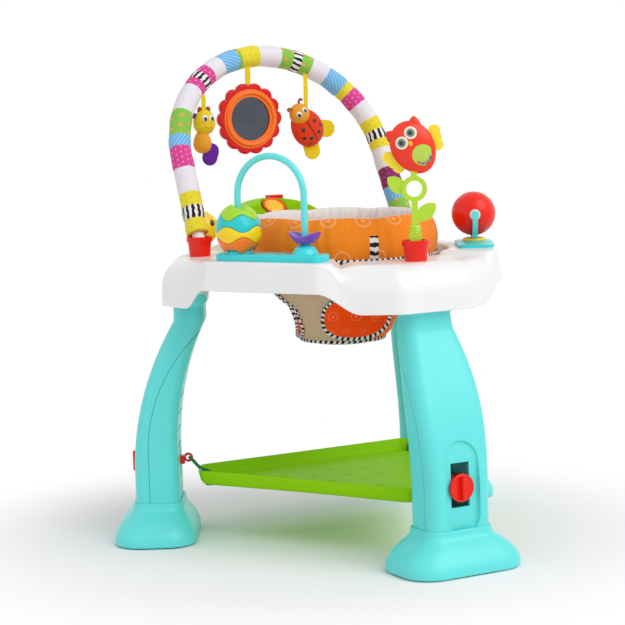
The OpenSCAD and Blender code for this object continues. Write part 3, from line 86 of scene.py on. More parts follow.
class Wire:
    """A socket of a finish. Sums, products and comparisons of wires add Math nodes."""

    def __init__(self, tree, socket=None):
        self.tree, self.socket = tree, socket

    def node(self, kind, settings=None, out=0, **sockets):
        made = self.tree.nodes.new("ShaderNode" + kind)
        for key, value in (settings or {}).items():
            setattr(made, key, value)
        for key, value in sockets.items():
            socket = made.inputs[int(key[1:]) if key[1:].isdigit() else key.replace("_", " ")]
            if isinstance(value, Wire):
                self.tree.links.new(value.socket, socket)
            else:
                socket.default_value = value
        return Wire(self.tree, made.outputs[out] if made.outputs else None)

    def tint(self, a, b, share):
        a, b = (rgb(c) if isinstance(c, str) else c for c in (a, b))
        return self.node("Mix", {"data_type": "RGBA"}, out=2, i0=share, i6=a, i7=b)

    def noise(self, scale, detail=2.0):
        return self.node("TexNoise", Vector=self.node("TexCoord", out="Object"), Scale=scale, Detail=detail)

    def maths(self, operation, other=0.0):
        return self.node("Math", {"operation": operation}, i0=self, i1=other)

    __add__, __sub__ = partialmethod(maths, "ADD"), partialmethod(maths, "SUBTRACT")
    __lt__, __gt__ = partialmethod(maths, "LESS_THAN"), partialmethod(maths, "GREATER_THAN")
    __mul__, sin = partialmethod(maths, "MULTIPLY"), partialmethod(maths, "SINE")
    cell, size = partialmethod(maths, "FRACT"), partialmethod(maths, "ABSOLUTE")

    def __rsub__(self, other):
        return self.node("Math", {"operation": "SUBTRACT"}, i0=other, i1=self)


def rgb(code):
    part = [int(code[i:i + 2], 16) / 255 for i in (0, 2, 4)]
    return tuple(c / 12.92 if c < 0.04045 else ((c + 0.055) / 1.055) ** 2.4 for c in part) + (1.0,)


def shade(code, share):
    return tuple(min(1, c * share) for c in rgb(code)[:3]) + (1.0,)


def shader(owner, build):
    """Gives a material or the world the shader that build returns."""
    owner.use_nodes = True
    owner.node_tree.nodes.clear()
    wire = Wire(owner.node_tree)
    kind = "OutputWorld" if isinstance(owner, bpy.types.World) else "OutputMaterial"
    wire.node(kind, Surface=build(wire))
    return owner


def direct_rays(w):
    """1 for rays from the camera or from a glossy surface, else 0."""
    return w.node("LightPath", out="Is Camera Ray") + w.node("LightPath", out="Is Glossy Ray")


def studio_dome(w):
    plain = direct_rays(w) + w.node("LightPath", out="Is Transmission Ray")
    return w.node("Background", Color=(1, 1, 1, 1), Strength=(plain > 0.5) * 0.4 + 0.6)


def paper(w):
    """White paper that takes shadows near the object and is an even white further out."""
    away = w.node("VectorMath", {"operation": "LENGTH"}, 1, i0=w.node("NewGeometry", out="Position"))
    far = w.node("MapRange", {"interpolation_type": "SMOOTHSTEP"}, Value=away, From_Min=0.34, From_Max=0.7)
    lit = w.node("BsdfDiffuse", Color=(0.94, 0.94, 0.94, 1))
    white = w.node("Emission", Color=(1, 1, 1, 1), Strength=1.0)
    return w.node("MixShader", i0=far * (direct_rays(w) > 0.5), i1=lit, i2=white)


scene.world = shader(bpy.data.worlds.new("studio"), studio_dome)
for lamp, energy, spread, tilt, turn in (("key", 1.4, 0.9, 46, 52), ("fill", 0.25, 1.4, 62, -50)):
    sun = linked(lamp, bpy.data.lights.new(lamp, "SUN"))
    sun.data.energy, sun.data.angle = energy, spread
    sun.rotation_euler = (radians(tilt), 0, radians(turn))
floor_mesh = bpy.data.meshes.new("floor")
floor_mesh.from_pydata([(-15, -15, 0), (15, -15, 0), (15, 15, 0), (-15, 15, 0)], [], [(0, 1, 2, 3)])
floor_mesh.materials.append(shader(bpy.data.materials.new("paper_floor"), paper))
floor = linked("floor", floor_mesh)


# Elastic loops. Three covered elastic cords carry the platform: each runs from a stopper under a
# platform tip, up through the tip's notch, round the hook of the height slider and back.
def turned(points, turn):
    """Points as (out, across, up) from the seat axis in mm, turned round it, in metres."""
    p = np.asarray(points, float).reshape(-1, 3)
    c, s = cos(radians(turn)), sin(radians(turn))
    x, y = axis.x * 1000 + c * p[:, 0] - s * p[:, 1], s * p[:, 0] + c * p[:, 1]
    return np.stack([x, y, p[:, 2]], 1) / 1000


def skin(rings, loop=False, caps=True, along=None, around=None):
    """Joins rings of points into faces. along and around are lengths of the UV in mm, or all its marks."""
    n, m = len(rings[0]), len(rings)
    along, around = (given if np.ndim(given) else np.linspace(0, given or count, count + 1)
                     for given, count in ((along, m), (around, n)))
    faces, uv = [], []
    for i in range(m if loop else m - 1):
        for k in range(n):
            j, l = (i + 1) % m, (k + 1) % n
            faces.append((i * n + k, i * n + l, j * n + l, j * n + k))
            uv += [(along[i], around[k]), (along[i], around[k + 1]),
                   (along[i + 1], around[k + 1]), (along[i + 1], around[k])]
    if caps and not loop:
        for i in (0, m - 1):
            faces.append(tuple(range(i * n, i * n + n)))
            uv += [(along[i], 0.0)] * n
    return np.concatenate([np.asarray(r, float).reshape(-1, 3) for r in rings]), faces, uv


def piece(name, form, look, body=None, crisp=None):
    """A mesh piece from points in metres. Edges sharper than crisp degrees stay crisp."""
    points, faces, uv = form
    data = bpy.data.meshes.new(name)
    data.from_pydata([tuple(p) for p in points], [], faces)
    if uv:
        data.uv_layers.new(name="cut").uv.foreach_set("vector", [c / 1000 for pair in uv for c in pair])
    work = bmesh.new()
    work.from_mesh(data)
    bmesh.ops.recalc_face_normals(work, faces=work.faces)
    work.to_mesh(data)
    work.free()
    for one in look if isinstance(look, list) else [look]:
        data.materials.append(one)
    data.shade_smooth()
    if crisp:
        data.set_sharp_from_angle(angle=radians(crisp))
    made = linked(name, data)
    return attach(made, body) if body else made


def circle(n):
    return np.linspace(0, 2 * pi, n, endpoint=False)


def tube(path, r, sides=12, across=(0, 0, 1), close=False):
    """A round tube along points, with an even radius. UV runs along it, in mm."""
    path = np.asarray(path, float)
    n = len(path)
    near = np.roll(path, 1, 0) if close else path[np.maximum(np.arange(n) - 1, 0)]
    away = np.roll(path, -1, 0) if close else path[np.minimum(np.arange(n) + 1, n - 1)]
    line = (away - near) / np.linalg.norm(away - near, axis=1)[:, None]
    u = np.cross(np.broadcast_to(np.asarray(across, float), line.shape), line)
    u /= np.linalg.norm(u, axis=1)[:, None]
    v = np.cross(line, u)
    c, s = np.cos(circle(sides))[:, None], np.sin(circle(sides))[:, None]
    rings = [path[i] + r * (c * u[i] + s * v[i]) for i in range(n)]
    step = np.linalg.norm(np.diff(np.vstack([path, path[:1]]), axis=0), axis=1)
    along = np.concatenate([[0], np.cumsum(step)]) * 1000
    return skin(rings, close, True, along, 2 * pi * 1000 * r)


def smooth_line(points, per=6):
    p = np.asarray(points, float)
    p = np.vstack([2 * p[0] - p[1], p, 2 * p[-1] - p[-2]])
    line = []
    for i in range(1, len(p) - 2):
        a, b, c, d = p[i - 1:i + 3]
        bend, twist = 2 * a - 5 * b + 4 * c - d, 3 * b - a - 3 * c + d
        for t in np.linspace(0, 1, per, endpoint=False):
            line.append(0.5 * (2 * b + (c - a) * t + bend * t * t + twist * t ** 3))
    return np.array(line + [p[-2]])


def woven(name, build, rough=0.85, pitch=1.1, depth=0.3, sheen=0.1):
    """A woven cloth: fine over-and-under threads, soft colour variation, a dull sheen."""
    def weave(w):
        u = w.node("SeparateXYZ", Vector=w.node("UVMap"))
        v = Wire(w.tree, u.socket.node.outputs[1])
        turn = 2000 * pi / pitch
        threads = (u * turn).sin() * (v * turn).sin()
        cloud = w.noise(26.0, 4.0)
        worn = w.tint(build(w, u, v), (0, 0, 0, 1), (1 - cloud) * 0.1 + threads.size() * 0.03)
        bump = w.node("Bump", Strength=depth, Distance=0.0006, Height=threads * 0.35 + cloud * 1.5)
        return w.node("BsdfPrincipled", Base_Color=worn, Roughness=cloud * 0.2 + (rough - 0.1), Normal=bump,
                      Sheen_Weight=sheen, Sheen_Roughness=0.5, Specular_IOR_Level=0.2)
    return shader(bpy.data.materials.new(name), weave)


def braid(w, u, v):
    return w.tint("1f6a45", "2f9a62", (u * 3000 + v * 2400).sin() > 0.2)


green_braid = woven("green_braid", braid, pitch=1.6)
leg_turns = (("left", 180), ("right", -60), ("rear", 60))
loop_out, loop_half = 217.4, 5
strand = [(loop_out, loop_half, 87.0), (loop_out, loop_half, 99.07), (222.76, loop_half, 104.71),
          (234.15, loop_half, 109.54), (246.21, loop_half, 123.23), (250.9, 3.1, 126.85), (250.9, 0, 127.25)]
half = smooth_line(strand[:5], 5)[:-1]
hook_side = [(r, -y, z) for r, y, z in strand[4:6][::-1]]
line = np.vstack([half, strand[4:], hook_side, (half * (1, -1, 1))[::-1]])
for leg, turn in leg_turns:
    path = turned(line, turn)
    loop = piece(f"elastic_{leg}", tube(path, 0.0018, 12, (0.37, 0.61, 0.2)), green_braid)
    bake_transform(loop)
    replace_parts(loop, f"cord_{leg}")


# Tray. One white moulding on the legs: a ring round the seat, three raised toy pads and three
# domed hoods over the leg necks, with a flared skirt. A flat underside is clipped in below it.
def moulded(name, code, rough=0.3, coat=0.25, grain=0.12, shine=0.5):
    """Injection-moulded plastic: even colour, a faint flow variation and a fine sparked grain."""
    def surface(w):
        flow, spark, wear = w.noise(7.0, 3.0), w.noise(1400.0), w.noise(60.0, 5.0)
        colours = w.tint(shade(code, 0.93), shade(code, 1.03), flow)
        bump = w.node("Bump", Strength=grain, Distance=0.0003, Height=spark + flow * 2)
        return w.node("BsdfPrincipled", Base_Color=colours, Roughness=wear * 0.16 + (rough - 0.06),
                      Coat_Weight=coat, Coat_Roughness=0.18, Specular_IOR_Level=shine, Normal=bump)
    return shader(bpy.data.materials.new(name), surface)


def keep(node, look, crisp=38):
    """A CAD node that shows as it is, with its finish; its small facets are shaded smooth."""
    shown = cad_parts[node]
    shown.data.materials.clear()
    shown.data.materials.append(look)
    if "custom_normal" in shown.data.attributes:
        shown.data.attributes.remove(shown.data.attributes["custom_normal"])
    shown.data.shade_smooth()
    shown.modifiers.new("weld", "WELD").merge_threshold = 0.00002
    shown.modifiers.new("crisp", "EDGE_SPLIT").split_angle = radians(crisp)


def ease(x):
    x = np.clip(x, 0, 1)
    return x * x * (3 - 2 * x)


def unit(v):
    return v / np.linalg.norm(v)


def swung(out, across, turn):
    """A place out and across from the axis, after a turn in radians."""
    return out * cos(turn) - across * sin(turn), out * sin(turn) + across * cos(turn)


def rounded(corners, r, steps, parts):
    """A closed outline with round corners; each straight side is cut into parts."""
    c = [np.asarray(p, float) for p in corners]
    ends = []
    for i, p in enumerate(c):
        u, v = unit(c[i - 1] - p), unit(c[(i + 1) % len(c)] - p)
        h = acos(float(u @ v)) / 2
        m = p + unit(u + v) * r / sin(h)
        a = atan2(*(p + u * r / tan(h) - m)[::-1])
        turns = [a + (pi - 2 * h) * k / steps for k in range(steps + 1)]
        ends.append([m + swung(r, 0, t) for t in turns])
    line = []
    for i, arc in enumerate(ends):
        after = ends[(i + 1) % len(ends)][0]
        line += arc + [arc[-1] + (after - arc[-1]) * k / parts for k in range(1, parts)]
    return line


def filleted(points, radii):
    """An open profile whose inner corners are rounded by the radius given for each."""
    p = [np.asarray(q, float) for q in points]
    line = [p[0]]
    for i in range(1, len(p) - 1):
        u, v = p[i - 1] - p[i], p[i + 1] - p[i]
        reach = min(radii[i], 0.45 * np.linalg.norm(u), 0.45 * np.linalg.norm(v))
        a, b = p[i] + unit(u) * reach, p[i] + unit(v) * reach
        line += [a, (a + 2 * p[i] + b) / 4, b]
    return line + [p[-1]]


def even(made):
    """Lets broad faces rule the shading at their rounded edges."""
    made.modifiers.new("even", "WEIGHTED_NORMAL").keep_sharp = True
    return made


def rigid(name, form, turn, look, body, node, crisp=None):
    """A moulding from a form in mm, turned round the seat axis, that shows for a CAD node."""
    made = even(piece(name, (turned(form[0], turn), form[1], None), look, body, crisp))
    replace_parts(made, node)


white_plastic = moulded("white_plastic", "f1f1f2", 0.34, 0.3)
hoods, pads = [turn for _, turn in leg_turns], (0, 120, 240)
ball_pad, music_pad, bead_pad = pads


def tray_row(p):
    """The wall at a point of the outline: over the ring, pad and rim, down the skirt, and back inside."""
    r, a = float(np.linalg.norm(p)), degrees(atan2(p[1], p[0]))
    off = lambda turns: min(abs((a - t + 540) % 360 - 180) for t in turns)
    hood, pad = 1 - ease((off(hoods) - 24) / 14), 1 - ease((off(pads) - 26.5) / 4)
    top, wall = 437 + max(12 * hood, 17 * pad), 3
    run, fall, low = 5 + 33 * hood, 5 + 39 * hood, 410 - 32 * hood
    foot, inset, crown = r + 8 * (1 - hood), r - run, top - fall
    head = [(136, 413), (136, 433), (163, 433), (171, top)]
    bend = [(inset + run * sin(b), crown + fall * cos(b)) for b in np.radians(np.linspace(0, 90, 12))]
    tail = [(foot, low), (foot - wall, low), (r - wall, crown),
            (inset + (run - wall) * 0.707, crown + (fall - wall) * 0.707), (inset - 1.5, top - wall),
            (174, top - wall), (166, 430), (139, 430), (139, 413)]
    line = filleted(head + bend + tail, [0, 3, 5, 6] + [0.3] * len(bend) + [1.2, 1.2] + [0.5] * 7)
    return [(p[0] / r * out, p[1] / r * out, z) for out, z in line]


tray_corners = []
for t in np.radians(pads):
    for r, half, turn in ((240, 95, t), (280, 60, t + pi / 3)):
        tray_corners += [swung(r, s * half, turn) for s in (-1, 1)]
tray_rows = [tray_row(p) for p in rounded(tray_corners, 30, 8, 14)]
rigid("tray_moulding", skin(tray_rows, loop=True), 0, white_plastic, "frame", "tray_shell")
keep("tray_underside", moulded("pale_plastic", "dcdcda", 0.45, 0.1))


# Legs. Three bowed box mouldings carry the tray. Each is an outer shell, with the recess of the
# height knob, and an inner cover with four marks, which meet in a curved seam along the sides.
def round_rect(hx, hy, r, steps=9):
    line = []
    for sx, sy, q in ((1, 1, 0), (-1, 1, 90), (-1, -1, 180), (1, -1, 270)):
        b = np.radians(np.linspace(q, q + 90, steps + 1))
        line.append(np.column_stack([sx * (hx - r) + r * np.cos(b), sy * (hy - r) + r * np.sin(b)]))
    return np.vstack(line)


def level(outline, z, out=0.0, across=0.0):
    """A flat outline at a height, as (out, across, up)."""
    return np.column_stack([outline[:, 0] + out, outline[:, 1] + across, np.full(len(outline), float(z))])


def upright(outline, out, up=0.0):
    """An outline of (across, up) that stands at a distance out."""
    return np.column_stack([np.broadcast_to(out, len(outline)), outline[:, 0], outline[:, 1] + up])


def block(low, high):
    mid, half = np.add(low, high) / 2, np.subtract(high, low) / 2
    return skin([level(round_rect(half[0], half[1], 0.3, 1), z, mid[0], mid[1]) for z in (low[2], high[2])])


def carved(form, *cuts, within=None, plus=None):
    """A form kept within one other and joined with another, after cutters have gone through it."""
    made = [piece("blank", form, [])]
    for operation, shape in [("INTERSECT", within), ("UNION", plus)] + [("DIFFERENCE", cut) for cut in cuts]:
        if shape:
            made.append(piece("cutter", shape, []))
            act = made[0].modifiers.new("cut", "BOOLEAN")
            act.operation, act.solver, act.object = operation, "EXACT", made[-1]
    bpy.context.view_layer.update()
    data = bpy.data.meshes.new_from_object(made[0].evaluated_get(bpy.context.evaluated_depsgraph_get()))
    left = np.array([v.co[:] for v in data.vertices]), [tuple(f.vertices) for f in data.polygons], None
    for one in made:
        bpy.data.objects.remove(one)
    return left


leg_out, bow_r, bow_low, bow_high, knob_z = 300, 460, 125, 350, 124


def leg_ring(z, grow=0.0):
    """The leg's outline at a height: it bows inwards and narrows on its way up."""
    rise = max(0.0, min(z, bow_high) - bow_low)
    bow = np.clip((z - bow_low) / (bow_high - bow_low), 0, 1)
    narrow = 14 * np.clip((z - 220) / 152, 0, 1) ** 2
    line = round_rect(35 - 10.5 * bow + grow, 52 + 4 * sin(pi * bow) - narrow + grow, 18)
    return level(line, z, leg_out - (bow_r - sqrt(bow_r ** 2 - rise ** 2)))


def seam_zone(grow):
    """The room inside the curved seam, grown by a gap."""
    a, r = np.radians(np.linspace(0, 90, 61)), 258 + grow
    arc = np.column_stack([53 + r * np.cos(a), 140 + r * np.sin(a)])
    line = np.vstack([[(0, 20), (311 + grow, 20)], arc, [(0, 398 + grow)]])
    return skin([np.column_stack([line[:, 0], np.full(len(line), y), line[:, 1]]) for y in (-80.0, 80.0)])


turquoise_plastic = moulded("turquoise_plastic", "5fe3e1", 0.38, 0.15)
flare = 4.5
leg_rings = [leg_ring(z) for z in [*np.linspace(34, 125, 8), *np.linspace(132.5, 350, 30), 361, 370]]
leg_rings += [leg_ring(z, flare * float(ease((z - 371) / 10))) for z in np.linspace(372, 381, 6)]
leg_blank = skin(leg_rings + [leg_ring(411, flare)])
recess = []
for inset, lift in ((-3, 30), (-0.8, 4.6), (0, 3), (1.2, 0.7), (3, 0), (12, 0), (20, 0), (28, 0)):
    line = round_rect(29 - inset, 69 - inset, 28.8 - inset)
    out = [min(328.0, leg_ring(z + knob_z)[:, 0].max() - 4) + lift for z in line[:, 1]]
    recess.append(upright(line, out, knob_z))
channel = block((269, -19, 86), (324, 19, 170))
leg_outer = carved(leg_blank, seam_zone(0.8), skin(recess), block((322, -16, 95), (330, 16, 161)), channel)
leg_marks = []
for z in (149, 176, 203, 230):
    face = leg_ring(z)[:, 0].min()
    band = carved(skin([leg_ring(z, 4), leg_ring(z + 3, 4)]), skin([leg_ring(z - 3, -1.8), leg_ring(z + 6, -1.8)]))
    leg_marks.append(carved(band, within=block((face - 8, -60, z - 5), (face + 1.5, 60, z + 8))))
tongue = carved(skin([leg_ring(z, -2.5) for z in np.linspace(38, 370, 50)]), within=seam_zone(4))
leg_inner = carved(leg_blank, channel, block((240, -7, 99.5), (270, 7, 156.5)), *leg_marks,
                   within=seam_zone(-0.1), plus=tongue)
for leg, turn in leg_turns:
    rigid("leg_outer_" + leg, leg_outer, turn, turquoise_plastic, "frame", f"leg_{leg}_shell", 32)
    rigid("leg_inner_" + leg, leg_inner, turn, turquoise_plastic, "frame", f"leg_{leg}_cover", 32)


# Feet. Each leg stands in a broad domed foot with a collar; the foot is open below, between two
# long rims that carry grey rubber pads.
def foot_ring(z, share):
    """The foot's outline at a height; share runs from 0 at the collar to 1 at the floor."""
    return level(round_rect(39 + 25 * share, 56 + 42 * share, 22 + 23 * share), z, 304 - 4 * (1 - share))


bell = smooth_line([(1, 9, 0), (0.985, 14, 0), (0.91, 21, 0), (0.76, 29.5, 0), (0.55, 37.5, 0),
                    (0.32, 44.5, 0), (0.13, 50, 0), (0.04, 54, 0), (0, 59, 0)], 3)
foot_rows = [(0.92, 2), (0.955, 2), (0.985, 2.8), (1, 5.3), *bell[:, :2], (0, 62.4), (-0.025, 63.5), (-0.07, 64)]
foot_form = skin([level(round_rect(39, 83, 18), z, 304) for z in (29, 2.6)]
                 + [foot_ring(z, share) for share, z in foot_rows]
                 + [level(round_rect(35.3, 52.3, 18), z, leg_out) for z in (63.6, 56)])
for leg, turn in leg_turns:
    rigid("foot_dome_" + leg, foot_form, turn, turquoise_plastic, "frame", "foot_" + leg, 50)
keep("foot_pads", moulded("grey_rubber", "55585a", 0.75, 0.0, 0.4))


# Height setting. A red slider with a hook runs in each leg's channel and carries one elastic loop.
# A red knob on its shaft, turned by a grip bar, shows in the recess on the outside of the leg.
def lathe(profile, sides=48):
    """A turned form about the up axis, from (radius, height) pairs."""
    rim = np.column_stack([np.cos(circle(sides)), np.sin(circle(sides))])
    return skin([level(r * rim, h) for r, h in profile])


def laid(form, order=(2, 0, 1)):
    """A form with its axes in another order; a turned form comes to lie along the out axis."""
    return form[0][:, list(order)], form[1], None


def moved(form, by):
    return form[0] + by, form[1], form[2]


def joined(*forms):
    points, faces = [], []
    for form in forms:
        start = sum(len(p) for p in points)
        points.append(form[0])
        faces += [tuple(i + start for i in face) for face in form[1]]
    return np.vstack(points), faces, None


red_plastic = moulded("red_plastic", "f01c06", 0.3, 0.12, shine=0.3)
disc = lathe([(5.9, 299), (5.9, 329), (20, 329), (20.8, 329.8), (21, 331), (20.8, 332.6), (20, 333.6),
              (18.6, 334), (17.4, 333.8), (16.4, 333.2), (8, 333), (0.3, 333)], 64)
grip = skin([upright(round_rect(h, l, h - 0.1, 5), out) for h, l, out in
             ((3.5, 16.6, 332), (3.5, 16.6, 338.6), (3.3, 16.2, 339.8), (2.8, 15.6, 340.6),
              (1.8, 14.4, 341), (0.4, 12.8, 341))])
knob = moved(joined(laid(disc), grip), (0, 0, knob_z))
for leg, turn in leg_turns:
    rigid("turn_knob_" + leg, knob, turn, red_plastic, "knob_" + leg, "knob_" + leg, 50)
    keep("slider_" + leg, red_plastic)


# Platform. A shallow three-cornered lime tray for the feet to push on, with a rolled rim. Each
# cut tip has a notch and two holes for its elastic loop, which a stopper holds from below.
def spun(form, turn):
    c, s = cos(radians(turn)), sin(radians(turn))
    return form[0] @ np.array([(c, s, 0), (-s, c, 0), (0, 0, 1)]), form[1], form[2]


lime_plastic = moulded("lime_plastic", "94d404", 0.5, 0.0, shine=0.1)
tip_out, tip_half = 237, 25.98
tips = [swung(tip_out, s * tip_half, t) for t in np.radians((60, 180, 300)) for s in (-1, 1)]
plat_line = np.array(rounded(tips, 16, 9, 18))
plat_edge = filleted([(34, 87), (10, 87), (5, 92), (1.25, 107), (1.4, 110), (4.6, 110), (11, 98.5), (16, 92),
                      (40, 92)], [0, 3, 4, 5, 1.4, 1.4, 6, 4, 0])
plat_r = np.linalg.norm(plat_line, axis=1)
cuts = []
for leg, turn in leg_turns:
    cuts.append(spun(block((loop_out, -8.6, 98.5), (270, 8.6, 130)), turn))
    for s in (-loop_half, loop_half):
        cuts.append(spun(moved(lathe([(2.8, 80), (2.8, 120)], 20), (loop_out, s, 0)), turn))
form = carved(skin([level(plat_line * (1 - inset / plat_r)[:, None], z) for inset, z in plat_edge]), *cuts)
rigid("foot_platform", form, 0, lime_plastic, "platform", "platform", 40)
bump = lathe([(5.5, 91.8), (5.2, 92.4), (4, 92.9), (2, 93.2), (0.2, 93.3)], 20)
form = joined(*[moved(bump, (*swung(r, 0, t), 0)) for r, n in ((0, 1), (52, 6), (104, 12))
                for t in np.radians(np.arange(n) * 360 / n)])
piece("platform_grip_bumps", (turned(form[0], 0), form[1], None), lime_plastic, "platform")
keep("cord_stoppers", moulded("dark_green_plastic", "1d5c3c", 0.4, 0.1))


# Seat. A white ring turns in the tray's hole and carries a padded orange collar, sewn in eight
# parts with a white lining and zebra piping. A soft pouch hangs inside it: orange cloth, a beige
# strip between the two leg holes and a beige bottom.
def plump(made, pinned, cap, pressure=4.0):
    """Fills a sewn cover until it swells: its seams hold still, and no point moves further than cap."""
    held = made.vertex_groups.new(name="seams")
    held.add([int(i) for i in pinned], 1.0, "REPLACE")
    cover = made.modifiers.new("filling", "CLOTH")
    cover.settings.use_pressure, cover.settings.uniform_pressure_force = True, pressure
    cover.settings.vertex_group_mass, cover.settings.effector_weights.gravity = "seams", 0.0
    begun = np.array([v.co[:] for v in made.data.vertices])
    for tick in range(1, 21):
        scene.frame_set(tick)
    ended = made.evaluated_get(bpy.context.evaluated_depsgraph_get()).data
    shift = np.array([v.co[:] for v in ended.vertices]) - begun
    shift *= np.minimum(1, cap / np.maximum(np.linalg.norm(shift, axis=1), 1e-9))[:, None]
    made.modifiers.remove(cover)
    made.vertex_groups.remove(held)
    scene.frame_set(1)
    made.data.vertices.foreach_set("co", (begun + shift).ravel())
    made.data.update()


def plain(ground, other):
    return lambda w, u, v: w.tint(ground, other, 0.4)


def spots(u, v, pitch):
    """Squared distance from the middle of the nearest cell of a staggered print, in cells."""
    row = (v * (1000 / pitch)).maths("FLOOR")
    across = (u * (1000 / pitch) + row * 0.37).cell() - 0.5
    along = (v * (1000 / pitch)).cell() - 0.5
    return across * across + along * along


def zebra_print(w, u, v, pitch=9.0, slant=2.0):
    """Black and white stripes of uneven width, as on common zebra cloth."""
    wave = w.noise(140.0, 1.0)
    ink = (u * (6283 / pitch) + v * (slant * 100) + wave * 3.2).sin() > 0.05
    return w.tint("f3f1ec", "1b1a1e", ink)


def ring_print(ground):
    """Pale rings with a dot, well apart on a plain ground."""
    def ink(w, u, v):
        at = spots(u, v, 52.0)
        ring = ((at - 0.045).size() < 0.008) + (at < 0.004)
        return w.tint(ground, "ffd3a6", ring * 0.5)
    return ink


def spoke(profile, t):
    """A profile of (radius, height) pairs, set at the angle t."""
    return np.array([(*swung(r, 0, t), z) for r, z in profile])


def piping(name, line, r=0.0028, sides=10, across=(0, 0, 1)):
    return piece(name, tube(line, r, sides, across, True), zebra_cloth, "seat")


def hoop(r, z, step):
    return turned([(*swung(r, 0, t), z) for t in np.radians(np.arange(0, 360, step))], 0)


orange_cloth = woven("orange_cloth", ring_print("ff8f1e"), 0.8, 1.3)
# The pouch is sewn from the same orange cloth as the collar. Its darker, redder orange is painted shade for where
# it hangs inside the collar, and the pouch's solidified inside takes this painted-shade orange too.
pouch_painted_shade_cloth = woven("pouch_painted_shade_cloth", ring_print("ff6c0a"), 0.8, 1.3)
lining = woven("white_lining", plain("efeeea", "e2e0da"), 0.85, 1.1)
beige_cloth = woven("beige_cloth", plain("dcbc9c", "cfab8a"), 0.85, 1.2)
zebra_cloth = woven("zebra_cloth", zebra_print, 0.8, 1.1)
zebra_ribbon = woven("zebra_ribbon", lambda w, u, v: zebra_print(w, v, u, 10.0, 0.6), 0.8, 1.1)
keep("seat_ring", white_plastic)

rows, cols, collar_mid, collar_girth, collar_wrap = 192, 40, 137.5, 864, 181
collar_rings = []
for t in circle(rows):
    puff = 3 * abs(cos(4 * t))
    crease = 0.9 * sin(23 * t + 2 * sin(7 * t)) + 0.6 * sin(41 * t)
    ring = []
    for a in np.radians(np.linspace(-90, 270, cols, endpoint=False)):
        lift = max(-0.88, sin(a))
        fold = crease * (0.5 + 0.5 * cos(a)) * (0.6 + 0.4 * sin(3 * a))
        ring.append((collar_mid + (13.5 + puff) * cos(a) - 5.5 * max(0, lift) + fold,
                     438 + 37 * (lift + 0.88) / 0.94 - (3 - puff) * max(0, lift)))
    collar_rings.append(spoke(ring, t))
points, faces, uv = skin(collar_rings, loop=True, along=collar_girth, around=collar_wrap)
collar = piece("padded_collar", (turned(points, 0), faces, uv), [orange_cloth, lining, zebra_ribbon], "seat")
for face in collar.data.polygons:
    t, k = divmod(face.index, cols)
    on_ribbon = 286 < t * 360 / rows < 292 and 2 <= k <= 11
    face.material_index = 1 if 19 <= k <= 37 else 2 if on_ribbon else 0
seams = [t * cols + k for t in range(rows) for k in range(cols)
         if t % (rows // 8) == rows // 16 or k in (0, 1, 39)]
plump(collar, seams, 0.0055)
for v in collar.data.vertices:
    t, z = atan2(v.co.y, v.co.x - axis.x), v.co.z
    off = abs((degrees(t) + 360) % 45 - 22.5) / 22.5
    low, high = float(ease((0.462 - z) / 0.02)), float(ease((z - 0.492) / 0.016))
    gather = 0.35 + 0.65 * (1 - off) ** 2 + 0.5 * low + 0.5 * high
    broad = 0.0014 * sin(37 * t + 2.6 * sin(11 * t) + 26 * z)
    fine = 0.0008 * sin(71 * t - 60 * z + sin(17 * t))
    pucker = gather * (broad + fine)
    v.co.x, v.co.y = v.co.x + pucker * cos(t), v.co.y + pucker * sin(t)
collar.modifiers.new("soft", "SUBSURF").levels = 1
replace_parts(collar, "seat_collar")
piping("collar_piping", hoop(154, 446.5, 2.5), 0.003, 12)

pouch_shape = ((0.02, 0), (0.3, 0), (0.5, 0.03), (0.64, 0.1), (0.745, 0.22), (0.82, 0.36), (0.945, 0.5),
               (0.98, 0.78), (1, 1))
pouch_line = smooth_line([(118.7 * r, 306 + 169.1 * z, 0) for r, z in pouch_shape], 8)[:, :2]
strip_at, hole_off, hole_z, hole_half, inside = 237, 50, 357, (55, 38), 1.4
hem_row, cols = 19, 120


def pouch_r(z):
    return np.interp(z, pouch_line[8:, 1], pouch_line[8:, 0])


def squared(a, b):
    """1 on the rim of a rounded square, less inside it and more outside."""
    return (abs(a) ** 2.5 + abs(b) ** 2.5) ** 0.4


def hole_share(p):
    """How far a point lies from the nearer leg hole's middle, as a share of the way to its rim."""
    best = (9, 0, 0)
    for s in (-1, 1):
        t = radians(strip_at + s * hole_off)
        out, across = swung(p[0], p[1], -t)
        share = squared(across / hole_half[0], (p[2] - hole_z) / hole_half[1])
        if out > 0 and share < best[0]:
            best = (share, across, t)
    return best


pouch_rings = []
for r, z in pouch_line:
    ring = []
    for t in circle(cols):
        sag = 1.2 * sin(9 * t + z / 14) * np.clip((z - 312) / 30, 0, 1) * np.clip((470 - z) / 40, 0, 1)
        p = (*swung(r + sag - inside, 0, t), z)
        share, across, turn = hole_share(p)
        if abs(share - 1) < 0.09:
            across, z_rim = across / share, hole_z + (z - hole_z) / share
            p = (*swung(sqrt((pouch_r(z_rim) - inside) ** 2 - across ** 2), across, turn), z_rim)
        ring.append(p)
    pouch_rings.append(np.array(ring))
points, faces, uv = skin(pouch_rings, caps=False, along=290, around=700)
whole = [i for i, face in enumerate(faces) if hole_share(points[list(face)].mean(0))[0] > 0.99]
uv = [(uv[4 * i + c][1], uv[4 * i + c][0]) for i in whole for c in range(4)]
pouch = piece("seat_pouch", (turned(points, 0), [faces[i] for i in whole], uv),
              [pouch_painted_shade_cloth, beige_cloth, pouch_painted_shade_cloth, pouch_painted_shade_cloth], "seat")
for face, i in zip(pouch.data.polygons, whole):
    turn = (i % cols + 0.5) * 360 / cols
    face.material_index = 1 if i // cols < hem_row or abs(turn - strip_at) < hole_off else 0
hem = pouch.modifiers.new("lined", "SOLIDIFY")
hem.thickness, hem.offset, hem.material_offset, hem.material_offset_rim = 0.0022, -1, 2, 2
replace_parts(pouch, "seat_sling")
